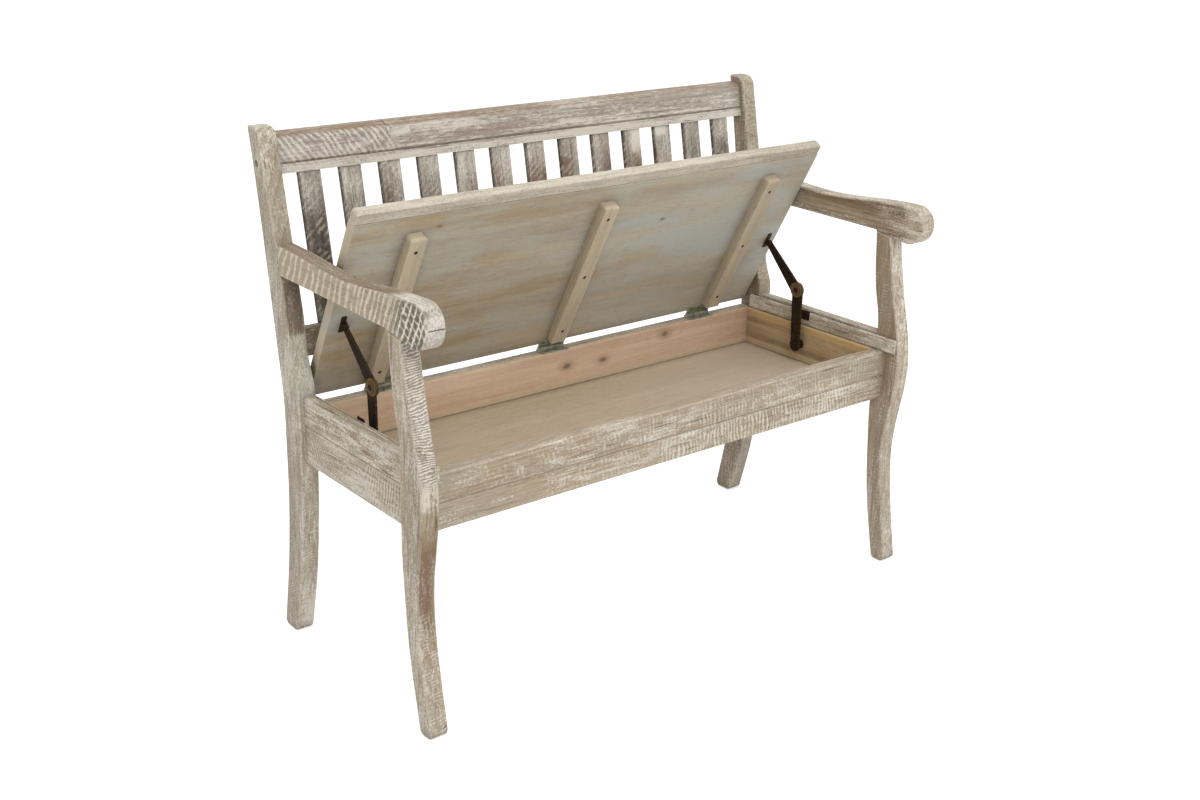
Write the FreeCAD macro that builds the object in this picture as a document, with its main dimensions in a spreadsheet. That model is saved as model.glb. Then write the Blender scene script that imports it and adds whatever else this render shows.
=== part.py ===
import FreeCAD, Part
import Sketcher
import math
import os

# A settle bench: a slatted back between raked posts, flat arms with round
# knuckles, and a storage box whose lid is propped open by two folding stays.
# Millimetres. +X is the bench's length from left to right as its front is
# seen, +Y runs from front to back, +Z is up, and the floor is Z = 0.

doc = FreeCAD.newDocument("settle_bench")

SIZES = {
    # Every leg, post and arm is sawn from one thickness of board
    "bench_length": 1107,
    "frame_thick": 33,
    "edge_ease": 2,
    "foot_round": 11,
    # The box rim's height, which the seat, arms and back rest stand above,
    # and how far the box runs back from the front legs to the back posts
    "box_rim": 427.5,
    "box_depth": 309,
    # Front legs: the straight back face beside the box, then the outline at
    # each level: how far its front lies behind that face, and its depth
    "leg_back_face": -179,
    "leg_foot_front": -79,
    "leg_foot_depth": 33,
    "leg_calf_drop": 200,
    "leg_calf_front": -54,
    "leg_calf_depth": 35.5,
    "leg_waist_drop": 70,
    "leg_waist_front": -43.5,
    "leg_waist_depth": 39.5,
    "leg_belly_rise": 83,
    "leg_belly_front": -58,
    "leg_neck_rise": 210,
    "leg_neck_front": -30.5,
    "leg_neck_depth": 43.5,
    "leg_top_front": -7.5,
    "leg_top_depth": 34.5,
    # Back posts: the straight front face beside the box, then the outline in
    # the same way, and the top above the box rim
    "post_depth": 51,
    "post_foot_front": 46,
    "post_foot_depth": 43,
    "post_calf_drop": 215,
    "post_calf_front": 21,
    "post_calf_depth": 48,
    "post_waist_drop": 110,
    "post_waist_front": 7,
    "post_waist_depth": 49,
    "post_shoulder_rise": 180,
    "post_shoulder_front": 12,
    "post_shoulder_depth": 49.5,
    "post_neck_rise": 275,
    "post_neck_front": 29,
    "post_neck_depth": 48,
    "post_top_rise": 458.5,
    "post_top_depth": 34.5,
    "post_top_round": 20,
    "rake_angle": 12.7,
    # How far legs and posts stay straight past the aprons
    "band_below": 7.5,
    "band_above": 7,
    # Arms: the underside above the box rim, and the rest from the underside
    "arm_rise": 224.5,
    "arm_back_top": 53.5,
    "arm_back_bottom": 5,
    "arm_dip_top": 44,
    "arm_dip_place": 155,
    "arm_seat_drop": 8,
    "arm_seat_margin": 6.5,
    "knuckle_radius": 34.5,
    "knuckle_overhang": 44.6,
    "knuckle_rise": 22,
    # Back rest, square to a plane that leans a little less than the posts
    "rest_setback": 27,
    "rest_lean_less": 0.9,
    "lower_rail_rise": 90.5,
    "lower_rail_width": 49,
    "crest_rail_drop": 77.2,
    "crest_rail_width": 54,
    "crest_bevel_rise": 15.5,
    "crest_bevel_bulge": 3,
    "crest_groove_place": 15,
    "crest_groove_width": 4,
    "crest_groove_depth": 3,
    "rail_thick": 20,
    "slat_width": 41,
    "slat_thick": 11,
    "slat_setback": 2.5,
    # Box aprons, each of two boards on edge but for the back one
    "front_apron_setback": 23.6,
    "front_apron_thick": 18,
    "front_upper_width": 49.5,
    "front_lower_width": 45.5,
    "side_apron_inset": 10,
    "side_apron_thick": 18,
    "side_apron_rise": 31.5,
    "side_upper_width": 51,
    "side_lower_width": 68,
    "back_apron_thick": 18,
    # Box lining, its floor, and the strips beside the lid
    "front_liner_thick": 8,
    "side_liner_thick": 11,
    "back_liner_thick": 11,
    "back_liner_setback": 20,
    "floor_drop": 75.5,
    "floor_thick": 10,
    "strip_thick": 5.5,
    "strip_width": 27.5,
    "strip_leg_lap": 50,
    "strip_post_lap": 21,
    # Lid, drawn closed about the hinge axis and then turned open
    "lid_angle": 63,
    "hinge_setback": 40,
    "lid_side_gap": 2.5,
    "lid_back_gap": 11,
    "lid_overhang": 26.4,
    "lid_thick": 18.6,
    "lipping_width": 20,
    "lipping_round": 6,
    "batten_width": 32,
    "batten_thick": 17,
    "batten_back": 15,
    "batten_clearance": 2.6,
    "batten_end_round": 6,
    "batten_margin": 122.5,
    "batten_shift": 4,
    # Hinges
    "hinge_margin": 143.5,
    "hinge_shift": 5,
    "hinge_length": 62,
    "leaf_thick": 2,
    "leaf_rise": 0.2,
    "box_leaf_width": 19,
    "lid_leaf_width": 22,
    "barrel_radius": 3.2,
    "barrel_clearance": 0.3,
    "barrel_gap": 0.4,
    "hinge_pin_radius": 1.5,
    "running_fit": 0.08,
    # Stays: how far each stands inside the strip beside it, and the bend,
    # which is half the turn of the elbow with the lid open
    "stay_left_inset": 34,
    "stay_right_inset": 28,
    "stay_bar_thick": 3,
    "stay_gap": 0.4,
    "stay_bend": 22.1,
    "stay_lid_width": 13,
    "stay_elbow_width": 26,
    "stay_foot_width": 22,
    "elbow_radius": 15,
    "elbow_rivet_radius": 8.5,
    "stay_pin_radius": 2.5,
    "rivet_radius": 5.5,
    "rivet_thick": 1.5,
    "stay_reach": 160,
    "stay_eye_clearance": 0.5,
    "stay_foot_run": 171,
    "stay_foot_drop": 38,
    "bracket_length": 33,
    "bracket_width": 9,
    "bracket_thick": 2,
    "stay_foot_radius": 12.5,
    "base_flange_radius": 9.5,
    "base_flange_thick": 2,
    "keeper_width": 21,
    "keeper_height": 18,
    "keeper_thick": 1.6,
    "keeper_shift": 3,
    "keeper_rise": 3.5,
    # Screws and plugs
    "screw_radius": 3.4,
    "screw_sink": 2.5,
    "screw_depth": 2,
    "screw_clearance": 0.25,
    "screw_margin": 27.5,
    "leaf_screw_radius": 2.4,
    "leaf_screw_sink": 0.2,
    "leaf_screw_edge": 6.5,
    "leaf_screw_margin": 11,
    "plug_radius": 6,
    "plug_depth": 4,
    "plug_sink": 0.5,
    "plug_rise": 21,
}
SLAT_COUNT = 13
BATTEN_COUNT = 3
HINGE_COUNT = 3
SCREW_COUNT = 3
KNUCKLE_COUNT = 5

# Places that follow from the sizes
LAYOUT = {
    "outer_x": "Sizes.bench_length / 2",
    "inner_x": "outer_x - Sizes.frame_thick",
    "clear_length": "2 * inner_x",
    "post_front_face": "Sizes.leg_back_face + Sizes.box_depth",
    "front_joint": "Sizes.box_rim - Sizes.front_upper_width",
    "front_bottom": "front_joint - Sizes.front_lower_width",
    "side_top": "Sizes.box_rim + Sizes.side_apron_rise",
    "side_joint": "side_top - Sizes.side_upper_width",
    "side_bottom": "side_joint - Sizes.side_lower_width",
    "side_apron_face": "outer_x - Sizes.side_apron_inset",
    "band_low": "front_bottom - Sizes.band_below",
    "band_high": "side_top + Sizes.band_above",
    "front_apron_face": "Sizes.leg_back_face - Sizes.front_apron_setback",
    "front_apron_back": "front_apron_face + Sizes.front_apron_thick",
    "front_liner_back": "front_apron_back + Sizes.front_liner_thick",
    "back_liner_face": "post_front_face + Sizes.back_liner_setback",
    "back_liner_back": "back_liner_face + Sizes.back_liner_thick",
    "liner_face": "inner_x - Sizes.side_liner_thick",
    "floor_top": "Sizes.box_rim - Sizes.floor_drop",
    "strip_face": "inner_x - Sizes.strip_thick",
    "post_top": "Sizes.box_rim + Sizes.post_top_rise",
    "rest_face": "post_front_face + Sizes.rest_setback",
    "rest_foot": "Sizes.box_rim + Sizes.lower_rail_rise",
    "rest_angle": "Sizes.rake_angle - Sizes.rest_lean_less",
    "crest_place": "(post_top - rest_foot) / cos(rest_angle) - Sizes.crest_rail_drop",
    "slat_length": "crest_place - Sizes.lower_rail_width",
    "slat_gap": f"(clear_length - {SLAT_COUNT} * Sizes.slat_width) / {SLAT_COUNT + 1}",
    "hinge_place": "post_front_face + Sizes.hinge_setback",
    "hinge_rise": "Sizes.barrel_radius + Sizes.barrel_clearance",
    "hinge_height": "Sizes.box_rim + hinge_rise",
    "hinge_spacing": "inner_x - Sizes.hinge_margin",
    "knuckle_length": f"(Sizes.hinge_length - {KNUCKLE_COUNT - 1} * Sizes.barrel_gap) / {KNUCKLE_COUNT}",
    "leaf_screw_spacing": "Sizes.hinge_length / 2 - Sizes.leaf_screw_margin",
    "leaf_screw_depth": "Sizes.leaf_thick - Sizes.leaf_screw_sink",
    "lid_lift": "Sizes.leaf_thick + Sizes.leaf_rise",
    "lid_half": "strip_face - Sizes.lid_side_gap",
    "lid_front": "hinge_place - front_apron_face + Sizes.lid_overhang",
    "lid_depth": "lid_front - Sizes.lid_back_gap",
    "batten_length": "hinge_place - Sizes.lid_back_gap - Sizes.batten_back"
                     " - front_liner_back - Sizes.batten_clearance",
    "batten_far": "Sizes.lid_back_gap + Sizes.batten_back + batten_length",
    "batten_spacing": "inner_x - Sizes.batten_margin",
    "batten_under": "lid_lift - Sizes.batten_thick",
    "screw_spacing": f"(batten_length - 2 * Sizes.screw_margin) / {SCREW_COUNT - 1}",
    "left_stay": "strip_face - Sizes.stay_left_inset",
    "right_stay": "strip_face - Sizes.stay_right_inset",
    "stay_upper_near": "Sizes.bracket_thick + Sizes.stay_gap",
    "stay_upper_far": "stay_upper_near + Sizes.stay_bar_thick",
    "stay_lower_near": "stay_upper_far + Sizes.stay_gap",
    "stay_lower_far": "stay_lower_near + Sizes.stay_bar_thick",
    "pivot_run": "Sizes.lid_back_gap + Sizes.stay_reach",
    "pivot_rise": "Sizes.leaf_rise + Sizes.leaf_thick - Sizes.bracket_thick"
                  " - Sizes.stay_lid_width / 2 - Sizes.stay_eye_clearance",
    "lid_pivot_y": "hinge_place - pivot_run * cos(Sizes.lid_angle) + pivot_rise * sin(Sizes.lid_angle)",
    "lid_pivot_z": "hinge_height + pivot_run * sin(Sizes.lid_angle) + pivot_rise * cos(Sizes.lid_angle)",
    "stay_foot_y": "hinge_place - Sizes.stay_foot_run",
    "stay_foot_z": "Sizes.box_rim - Sizes.stay_foot_drop",
    "stay_rise": "lid_pivot_z - stay_foot_z",
    "stay_run": "lid_pivot_y - stay_foot_y",
    "stay_arm_length": "sqrt(stay_run * stay_run + stay_rise * stay_rise) / (2 * cos(Sizes.stay_bend))",
    "lower_lean": "atan2(stay_run; stay_rise) - Sizes.stay_bend * 1deg",
    "upper_lean": "atan2(stay_run; stay_rise) + Sizes.stay_bend * 1deg",
}


def add_sheet(name, rows):
    """A spreadsheet with one aliased cell for each row."""
    sheet = doc.addObject("Spreadsheet::Sheet", name)
    for row, (alias, content) in enumerate(rows.items(), start=1):
        sheet.set(f"A{row}", alias)
        sheet.set(f"B{row}", content)
        sheet.setAlias(f"B{row}", alias)
    doc.recompute()
    return sheet


sizes_sheet = add_sheet("Sizes", {alias: str(number) for alias, number in SIZES.items()})
layout_sheet = add_sheet("Layout", {alias: "=" + formula for alias, formula in LAYOUT.items()})


def size(alias):
    return float(sizes_sheet.get(alias))


def place(alias):
    return float(layout_sheet.get(alias))


# Frames that several pieces share: the lid turns about the hinge axis, the
# back rest leans with the posts, and each stay arm hangs on its pivot
FRAMES = {
    "lid": ("Layout.hinge_place", "Layout.hinge_height", "-Sizes.lid_angle"),
    "hinge": ("Layout.hinge_place", "Layout.hinge_height", "0"),
    "rest": ("Layout.rest_face", "Layout.rest_foot", "-Layout.rest_angle"),
    "lower_arm": ("Layout.stay_foot_y", "Layout.stay_foot_z", "-Layout.lower_lean"),
    "upper_arm": ("Layout.lid_pivot_y", "Layout.lid_pivot_z", "-Layout.upper_lean"),
    "stay_foot": ("Layout.stay_foot_y", "Layout.stay_foot_z", "0"),
}
X_AXIS, Y_AXIS, Z_AXIS = range(3)
TOUCH = 1e-6
ABOUT_X = FreeCAD.Vector(1, 0, 0)
UP = FreeCAD.Vector(0, 1, 0)
AHEAD = FreeCAD.Vector(-1, 0, 0)
sub_parts = []


def hang(thing, frame, shift="0"):
    """Binds a piece's placement to a shared frame, moved along X by shift."""
    across, height, angle = FRAMES[frame]
    thing.Placement = FreeCAD.Placement(FreeCAD.Vector(), FreeCAD.Rotation(ABOUT_X, 1))
    thing.setExpression("Placement.Base.x", shift)
    thing.setExpression("Placement.Base.y", across)
    thing.setExpression("Placement.Base.z", height)
    thing.setExpression("Placement.Rotation.Angle", angle)


def keep(thing, name, frame=None, shift="0"):
    """Marks a sub-part: its label names its file."""
    thing.Label = name
    if frame:
        hang(thing, frame, shift)
    sub_parts.append(thing)
    return thing


# Sketched bodies
def new_sketch(body, role, name):
    sketch = body.newObject("Sketcher::SketchObject", name)
    plane = next(feature for feature in body.Origin.OriginFeatures if feature.Role == role)
    sketch.AttachmentSupport = (plane, "")
    sketch.MapMode = "FlatFace"
    return sketch


def add_pad(body, sketch, length):
    pad = body.newObject("PartDesign::Pad", body.Name + "_pad")
    pad.Profile = sketch
    pad.setExpression("Length", length)
    sketch.Visibility = False
    doc.recompute()
    return pad


def cut_pocket(body, sketch, name, depth, reverse):
    """A pocket that is proved to have cut its body."""
    before = body.Shape.Volume
    pocket = body.newObject("PartDesign::Pocket", name)
    pocket.Profile = sketch
    pocket.setExpression("Length", depth)
    pocket.Reversed = reverse
    sketch.Visibility = False
    doc.recompute()
    if body.Shape.Volume >= before:
        raise RuntimeError(f"{name} cuts nothing")
    return pocket


def chosen_edges(feature, chosen):
    return [f"Edge{number}" for number, edge in enumerate(feature.Shape.Edges, start=1) if chosen(edge)]


def dress(body, kind, base, chosen, amount):
    """A chamfer or a fillet on the chosen edges of a body."""
    feature = body.newObject("PartDesign::" + kind, f"{body.Name}_{kind.lower()}")
    feature.Base = (base, chosen_edges(base, chosen))
    feature.setExpression("Radius" if kind == "Fillet" else "Size", amount)
    doc.recompute()
    return feature


def runs_along(axis):
    """Chooses straight edges along one axis of the body."""
    def chosen(edge):
        if len(edge.Vertexes) < 2:
            return False
        span = edge.Vertexes[-1].Point - edge.Vertexes[0].Point
        return all((abs(span[way]) > TOUCH) == (way == axis) for way in range(3))
    return chosen


def at_floor(edge):
    return runs_along(X_AXIS)(edge) and abs(edge.CenterOfMass.z) < TOUCH


def on_board_sides(edge):
    """Chooses the outline's edges on both flat sides of a sawn board."""
    return all(vertex.X == edge.Vertexes[0].X for vertex in edge.Vertexes) and not runs_along(X_AXIS)(edge)


def draw_rectangle(sketch, spans, corner):
    """A rectangle from its low corner, with formulas for spans and place."""
    points = [FreeCAD.Vector(*pair, 0) for pair in ((0, 0), (1, 0), (1, 1), (0, 1))]
    for side, point in enumerate(points):
        sketch.addGeometry(Part.LineSegment(point, points[(side + 1) % 4]), False)
    for side in range(4):
        sketch.addConstraint(Sketcher.Constraint("Coincident", side, 2, (side + 1) % 4, 1))
        sketch.addConstraint(Sketcher.Constraint("Vertical" if side % 2 else "Horizontal", side))
    sketch.addConstraint(Sketcher.Constraint("Coincident", 0, 1, -1, 1))
    width = sketch.addConstraint(Sketcher.Constraint("DistanceX", 0, 1, 0, 2, 1))
    depth = sketch.addConstraint(Sketcher.Constraint("DistanceY", 1, 1, 1, 2, 1))
    sketch.setExpression(f"Constraints[{width}]", spans[0])
    sketch.setExpression(f"Constraints[{depth}]", spans[1])
    for way, formula in zip("xyz", corner):
        sketch.setExpression("AttachmentOffset.Base." + way, formula)


def board(name, corner, spans, grain, frame=None):
    """A planed board from its low corner and spans, its long arrises eased."""
    body = keep(doc.addObject("PartDesign::Body", name), name, frame)
    sketch = new_sketch(body, "XY_Plane", name + "_section")
    draw_rectangle(sketch, spans, corner)
    pad = add_pad(body, sketch, spans[2])
    dress(body, "Chamfer", pad, runs_along(grain), "Sizes.edge_ease")
    return body


def sawn_board(name, curves, low, length, frame=None):
    """A piece cut to a closed outline in the YZ plane, from X = low."""
    body = keep(doc.addObject("PartDesign::Body", name), name, frame)
    sketch = new_sketch(body, "YZ_Plane", name + "_outline")
    for curve in curves:
        sketch.addGeometry(curve, False)
    sketch.setExpression("AttachmentOffset.Base.z", low)
    return body, add_pad(body, sketch, length)


# Curves for the outlines
def flat(along, height):
    return FreeCAD.Vector(along, height, 0)


def smooth(points, start, end):
    curve = Part.BSplineCurve()
    curve.interpolate(Points=points, InitialTangent=start, FinalTangent=end)
    return curve


def towards(first, second):
    return (second - first).normalize()


def rounded_corner(before, corner, after, radius):
    """The arc that rounds a corner."""
    back = towards(corner, before)
    ahead = towards(corner, after)
    half = back.getAngle(ahead) / 2
    middle = (back + ahead).normalize()
    reach = radius / math.tan(half)
    nearest = corner + middle * (radius / math.sin(half) - radius)
    return Part.Arc(corner + back * reach, nearest, corner + ahead * reach)


def leaning(angle):
    """The direction that leans back from upright by an angle in degrees."""
    return flat(math.sin(math.radians(angle)), math.cos(math.radians(angle)))


ALONG_RAKE = leaning(size("rake_angle"))
ALONG_REST = leaning(place("rest_angle"))


# Front legs
def leg_point(level, height, back=False):
    """A point of a front leg's outline at one level."""
    depth = size(f"leg_{level}_depth") if back else 0
    return flat(size("leg_back_face") + size(f"leg_{level}_front") + depth, height)


def arm_seat(along):
    """A point of the slope under the arm that rests on the leg's top."""
    front, back = arm_seat_ends()
    drop = size("arm_seat_drop") * (back - along) / (back - front)
    return flat(along, size("box_rim") + size("arm_rise") - drop)


def arm_seat_ends():
    margin = size("arm_seat_margin")
    return leg_point("top", 0).x - margin, leg_point("top", 0, back=True).x + margin


def front_leg_outline():
    face = size("leg_back_face")
    low = place("band_low")
    calf = low - size("leg_calf_drop")
    waist = low - size("leg_waist_drop")
    belly = low + size("leg_belly_rise")
    neck = low + size("leg_neck_rise")
    top_front = arm_seat(leg_point("top", 0).x)
    top_back = arm_seat(leg_point("top", 0, back=True).x)
    front = [leg_point("foot", 0), leg_point("calf", calf), leg_point("waist", waist),
             leg_point("belly", belly), leg_point("neck", neck), top_front]
    low_back = [leg_point("foot", 0, back=True), leg_point("calf", calf, back=True),
                leg_point("waist", waist, back=True), flat(face, low)]
    high_back = [flat(face, place("band_high")), leg_point("neck", neck, back=True), top_back]
    return [Part.LineSegment(low_back[0], front[0]),
            smooth(front, towards(front[0], front[1]), towards(front[-2], front[-1])),
            Part.LineSegment(top_front, top_back),
            smooth(high_back, UP, towards(high_back[1], high_back[2])),
            Part.LineSegment(high_back[0], low_back[-1]),
            smooth(low_back, towards(low_back[0], low_back[1]), UP)]


# Back posts
def post_point(level, height, back=False):
    """A point of a back post's outline at one level."""
    depth = size(f"post_{level}_depth") if back else 0
    return flat(place("post_front_face") + size(f"post_{level}_front") + depth, height)


def on_rake(height):
    """A point of the posts' raked front face."""
    neck = post_point("neck", place("band_low") + size("post_neck_rise"))
    return neck + ALONG_RAKE * ((height - neck.y) / ALONG_RAKE.y)


def back_post_outline():
    face = place("post_front_face")
    back = face + size("post_depth")
    low = place("band_low")
    calf = low - size("post_calf_drop")
    waist = low - size("post_waist_drop")
    shoulder = low + size("post_shoulder_rise")
    neck = low + size("post_neck_rise")
    top_front = on_rake(place("post_top"))
    top_back = top_front + flat(size("post_top_depth"), 0)
    crown = rounded_corner(post_point("neck", neck), top_front, top_back, size("post_top_round"))
    low_front = [post_point("foot", 0), post_point("calf", calf), post_point("waist", waist),
                 flat(face, low)]
    low_back = [post_point("foot", 0, back=True), post_point("calf", calf, back=True),
                post_point("waist", waist, back=True), flat(back, low)]
    high_front = [flat(face, place("band_high")), post_point("shoulder", shoulder),
                  post_point("neck", neck)]
    high_back = [flat(back, place("side_joint")), post_point("shoulder", shoulder, back=True),
                 post_point("neck", neck, back=True), top_back]
    return [Part.LineSegment(low_back[0], low_front[0]),
            smooth(low_front, towards(low_front[0], low_front[1]), UP),
            Part.LineSegment(low_front[-1], high_front[0]),
            smooth(high_front, UP, ALONG_RAKE),
            Part.LineSegment(high_front[-1], crown.StartPoint),
            crown,
            Part.LineSegment(crown.EndPoint, top_back),
            smooth(high_back, UP, ALONG_RAKE),
            Part.LineSegment(high_back[0], low_back[-1]),
            smooth(low_back, towards(low_back[0], low_back[1]), UP)]


# Arms
def arm_outline():
    under = size("box_rim") + size("arm_rise")
    face = size("leg_back_face")
    radius = size("knuckle_radius")
    centre = flat(face - size("knuckle_overhang"), under + size("knuckle_rise"))
    knuckle_top = centre + UP * radius
    knuckle_bottom = centre - UP * radius
    back_top = on_rake(under + size("arm_back_top"))
    back_bottom = on_rake(under + size("arm_back_bottom"))
    dip = flat(face + size("arm_dip_place"), under + size("arm_dip_top"))
    seat_front, seat_back = [arm_seat(along) for along in arm_seat_ends()]
    return [smooth([back_top, dip, knuckle_top], AHEAD, AHEAD),
            Part.Arc(knuckle_top, centre + AHEAD * radius, knuckle_bottom),
            smooth([knuckle_bottom, seat_front], -AHEAD, towards(seat_front, seat_back)),
            Part.LineSegment(seat_front, seat_back),
            Part.LineSegment(seat_back, back_bottom),
            Part.LineSegment(back_bottom, back_top)]


def plug_point():
    """The dowel plugs sit behind the crest rail, at half its thickness."""
    along = place("crest_place") + size("plug_rise")
    across = size("rail_thick") / 2
    square = flat(ALONG_REST.y, -ALONG_REST.x)
    return flat(place("rest_face"), place("rest_foot")) + ALONG_REST * along + square * across


SIDES = {"left": -1, "right": 1}


def mirrored_low(side, near, far):
    """The low X end of a piece that spans from near to far on one side."""
    return near if side == "right" else f"-({far})"


for side in SIDES:
    inner_face = mirrored_low(side, "Layout.inner_x", "Layout.outer_x")
    leg, pad = sawn_board("front_leg_" + side, front_leg_outline(), inner_face, "Sizes.frame_thick")
    foot = dress(leg, "Fillet", pad, at_floor, "Sizes.foot_round")
    dress(leg, "Chamfer", foot, on_board_sides, "Sizes.edge_ease")
    post, pad = sawn_board("back_post_" + side, back_post_outline(), inner_face, "Sizes.frame_thick")
    foot = dress(post, "Fillet", pad, at_floor, "Sizes.foot_round")
    dress(post, "Chamfer", foot, on_board_sides, "Sizes.edge_ease")
    sinks = new_sketch(post, "YZ_Plane", f"back_post_{side}_sink")
    sinks.addGeometry(Part.Circle(plug_point(), FreeCAD.Vector(0, 0, 1), size("plug_radius")), False)
    sinks.setExpression("AttachmentOffset.Base.z", f"{SIDES[side]} * Layout.outer_x")
    cut_pocket(post, sinks, f"back_post_{side}_plug_sink", "Sizes.plug_depth", side == "left")
    arm, pad = sawn_board("arm_" + side, arm_outline(), inner_face, "Sizes.frame_thick")
    dress(arm, "Chamfer", pad, on_board_sides, "Sizes.edge_ease")

# Back rest
board("lower_back_rail", ("-Layout.inner_x", "0", "0"),
      ("Layout.clear_length", "Sizes.rail_thick", "Sizes.lower_rail_width"), X_AXIS, "rest")


def crest_rail_outline():
    """Front face with a beaded lower edge, and a top that falls to the front."""
    bottom = place("crest_place")
    thick = size("rail_thick")
    groove_low = bottom + size("crest_groove_place")
    groove_high = groove_low + size("crest_groove_width")
    front_top = bottom + size("crest_rail_width")
    back_top = front_top + size("crest_bevel_rise")
    middle = flat(thick / 2, (front_top + back_top) / 2)
    square = flat(front_top - back_top, thick).normalize()
    bulge = middle + square * size("crest_bevel_bulge")
    corners = [flat(0, front_top), flat(0, groove_high),
               flat(size("crest_groove_depth"), groove_low), flat(0, groove_low),
               flat(0, bottom), flat(thick, bottom), flat(thick, back_top)]
    edges = [Part.LineSegment(first, second) for first, second in zip(corners, corners[1:])]
    return edges + [Part.Arc(corners[-1], bulge, corners[0])]


sawn_board("crest_rail", crest_rail_outline(), "-Layout.inner_x", "Layout.clear_length", "rest")

for number in range(SLAT_COUNT):
    slat_low = f"{number + 1} * Layout.slat_gap + {number} * Sizes.slat_width - Layout.inner_x"
    board(f"back_slat_{number + 1:02d}", (slat_low, "Sizes.slat_setback", "Sizes.lower_rail_width"),
          ("Sizes.slat_width", "Sizes.slat_thick", "Layout.slat_length"), Z_AXIS, "rest")

# Box aprons
board("front_apron_upper", ("-Layout.inner_x", "Layout.front_apron_face", "Layout.front_joint"),
      ("Layout.clear_length", "Sizes.front_apron_thick", "Sizes.front_upper_width"), X_AXIS)
board("front_apron_lower", ("-Layout.inner_x", "Layout.front_apron_face", "Layout.front_bottom"),
      ("Layout.clear_length", "Sizes.front_apron_thick", "Sizes.front_lower_width"), X_AXIS)
board("back_apron", ("-Layout.inner_x", "Layout.back_liner_back", "Layout.front_bottom"),
      ("Layout.clear_length", "Sizes.back_apron_thick", "Sizes.box_rim - Layout.front_bottom"), X_AXIS)
for side in SIDES:
    apron_low = mirrored_low(side, "Layout.side_apron_face - Sizes.side_apron_thick",
                             "Layout.side_apron_face")
    board(f"side_apron_{side}_upper", (apron_low, "Sizes.leg_back_face", "Layout.side_joint"),
          ("Sizes.side_apron_thick", "Sizes.box_depth", "Sizes.side_upper_width"), Y_AXIS)
    board(f"side_apron_{side}_lower", (apron_low, "Sizes.leg_back_face", "Layout.side_bottom"),
          ("Sizes.side_apron_thick", "Sizes.box_depth", "Sizes.side_lower_width"), Y_AXIS)

# Box lining, floor and lid strips
board("front_liner", ("-Layout.inner_x", "Layout.front_apron_back", "Layout.floor_top"),
      ("Layout.clear_length", "Sizes.front_liner_thick", "Sizes.floor_drop"), X_AXIS)
board("back_liner", ("-Layout.inner_x", "Layout.back_liner_face", "Layout.floor_top"),
      ("Layout.clear_length", "Sizes.back_liner_thick", "Sizes.floor_drop"), X_AXIS)
for side in SIDES:
    board("side_liner_" + side,
          (mirrored_low(side, "Layout.liner_face", "Layout.inner_x"), "Layout.front_liner_back",
           "Layout.floor_top"),
          ("Sizes.side_liner_thick", "Layout.back_liner_face - Layout.front_liner_back",
           "Sizes.floor_drop"), Y_AXIS)
    board("side_strip_" + side,
          (mirrored_low(side, "Layout.strip_face", "Layout.inner_x"),
           "Sizes.leg_back_face - Sizes.strip_leg_lap", "Sizes.box_rim"),
          ("Sizes.strip_thick", "Sizes.box_depth + Sizes.strip_leg_lap + Sizes.strip_post_lap",
           "Sizes.strip_width"), Y_AXIS)
board("bottom_panel", ("-Layout.inner_x", "Layout.front_apron_back", "Layout.floor_top - Sizes.floor_thick"),
      ("Layout.clear_length", "Layout.back_liner_back - Layout.front_apron_back", "Sizes.floor_thick"),
      X_AXIS)

# Lid
board("lid_panel", ("-Layout.lid_half", "Sizes.lipping_width - Layout.lid_front", "Layout.lid_lift"),
      ("2 * Layout.lid_half", "Layout.lid_depth - Sizes.lipping_width", "Sizes.lid_thick"), X_AXIS, "lid")


def edge_front(edge):
    """Chooses the two upright edges at the front of a board."""
    box = edge.BoundBox
    return runs_along(Z_AXIS)(edge) and box.YMax < -place("lid_front") + size("lipping_width") / 2


lipping = keep(doc.addObject("PartDesign::Body", "lid_lipping"), "lid_lipping", "lid")
lipping_sketch = new_sketch(lipping, "XY_Plane", "lid_lipping_section")
draw_rectangle(lipping_sketch, ("2 * Layout.lid_half", "Sizes.lipping_width"),
               ("-Layout.lid_half", "-Layout.lid_front", "Layout.lid_lift"))
lipping_pad = add_pad(lipping, lipping_sketch, "Sizes.lid_thick")
lipping_corners = dress(lipping, "Fillet", lipping_pad, edge_front, "Sizes.lipping_round")


def lipping_front(edge):
    """Chooses the outer edges of the lipping's two faces."""
    return not runs_along(Z_AXIS)(edge) and edge.BoundBox.YMin < -place("lid_front") + 1


dress(lipping, "Chamfer", lipping_corners, lipping_front, "Sizes.edge_ease")


def batten_far_end(edge):
    """Chooses the edges round the batten's free end, but not at the lid."""
    box = edge.BoundBox
    return box.YMax < TOUCH - place("batten_far") and box.ZMin < place("lid_lift") - TOUCH


def screw_row(number):
    """How far a batten screw lies from the hinge axis, as a formula."""
    return f"Sizes.lid_back_gap + Sizes.batten_back + Sizes.screw_margin + {number} * Layout.screw_spacing"


def batten_middle(number):
    return f"Sizes.batten_shift + {number - (BATTEN_COUNT - 1) // 2} * Layout.batten_spacing"


def rod(name, radius, length, base, axis="z"):
    """A cylinder along X or Z whose sizes and place are formulas."""
    cylinder = doc.addObject("Part::Cylinder", name)
    if axis == "x":
        cylinder.Placement.Rotation = FreeCAD.Rotation(FreeCAD.Vector(0, 1, 0), 90)
    cylinder.setExpression("Radius", radius)
    cylinder.setExpression("Height", length)
    for way, formula in zip("xyz", base):
        cylinder.setExpression("Placement.Base." + way, formula)
    return cylinder


def block(name, corner, spans):
    """A box from its low corner and spans, all formulas."""
    box = doc.addObject("Part::Box", name)
    for span, formula in zip(("Length", "Width", "Height"), spans):
        box.setExpression(span, formula)
    for way, formula in zip("xyz", corner):
        box.setExpression("Placement.Base." + way, formula)
    return box


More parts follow.
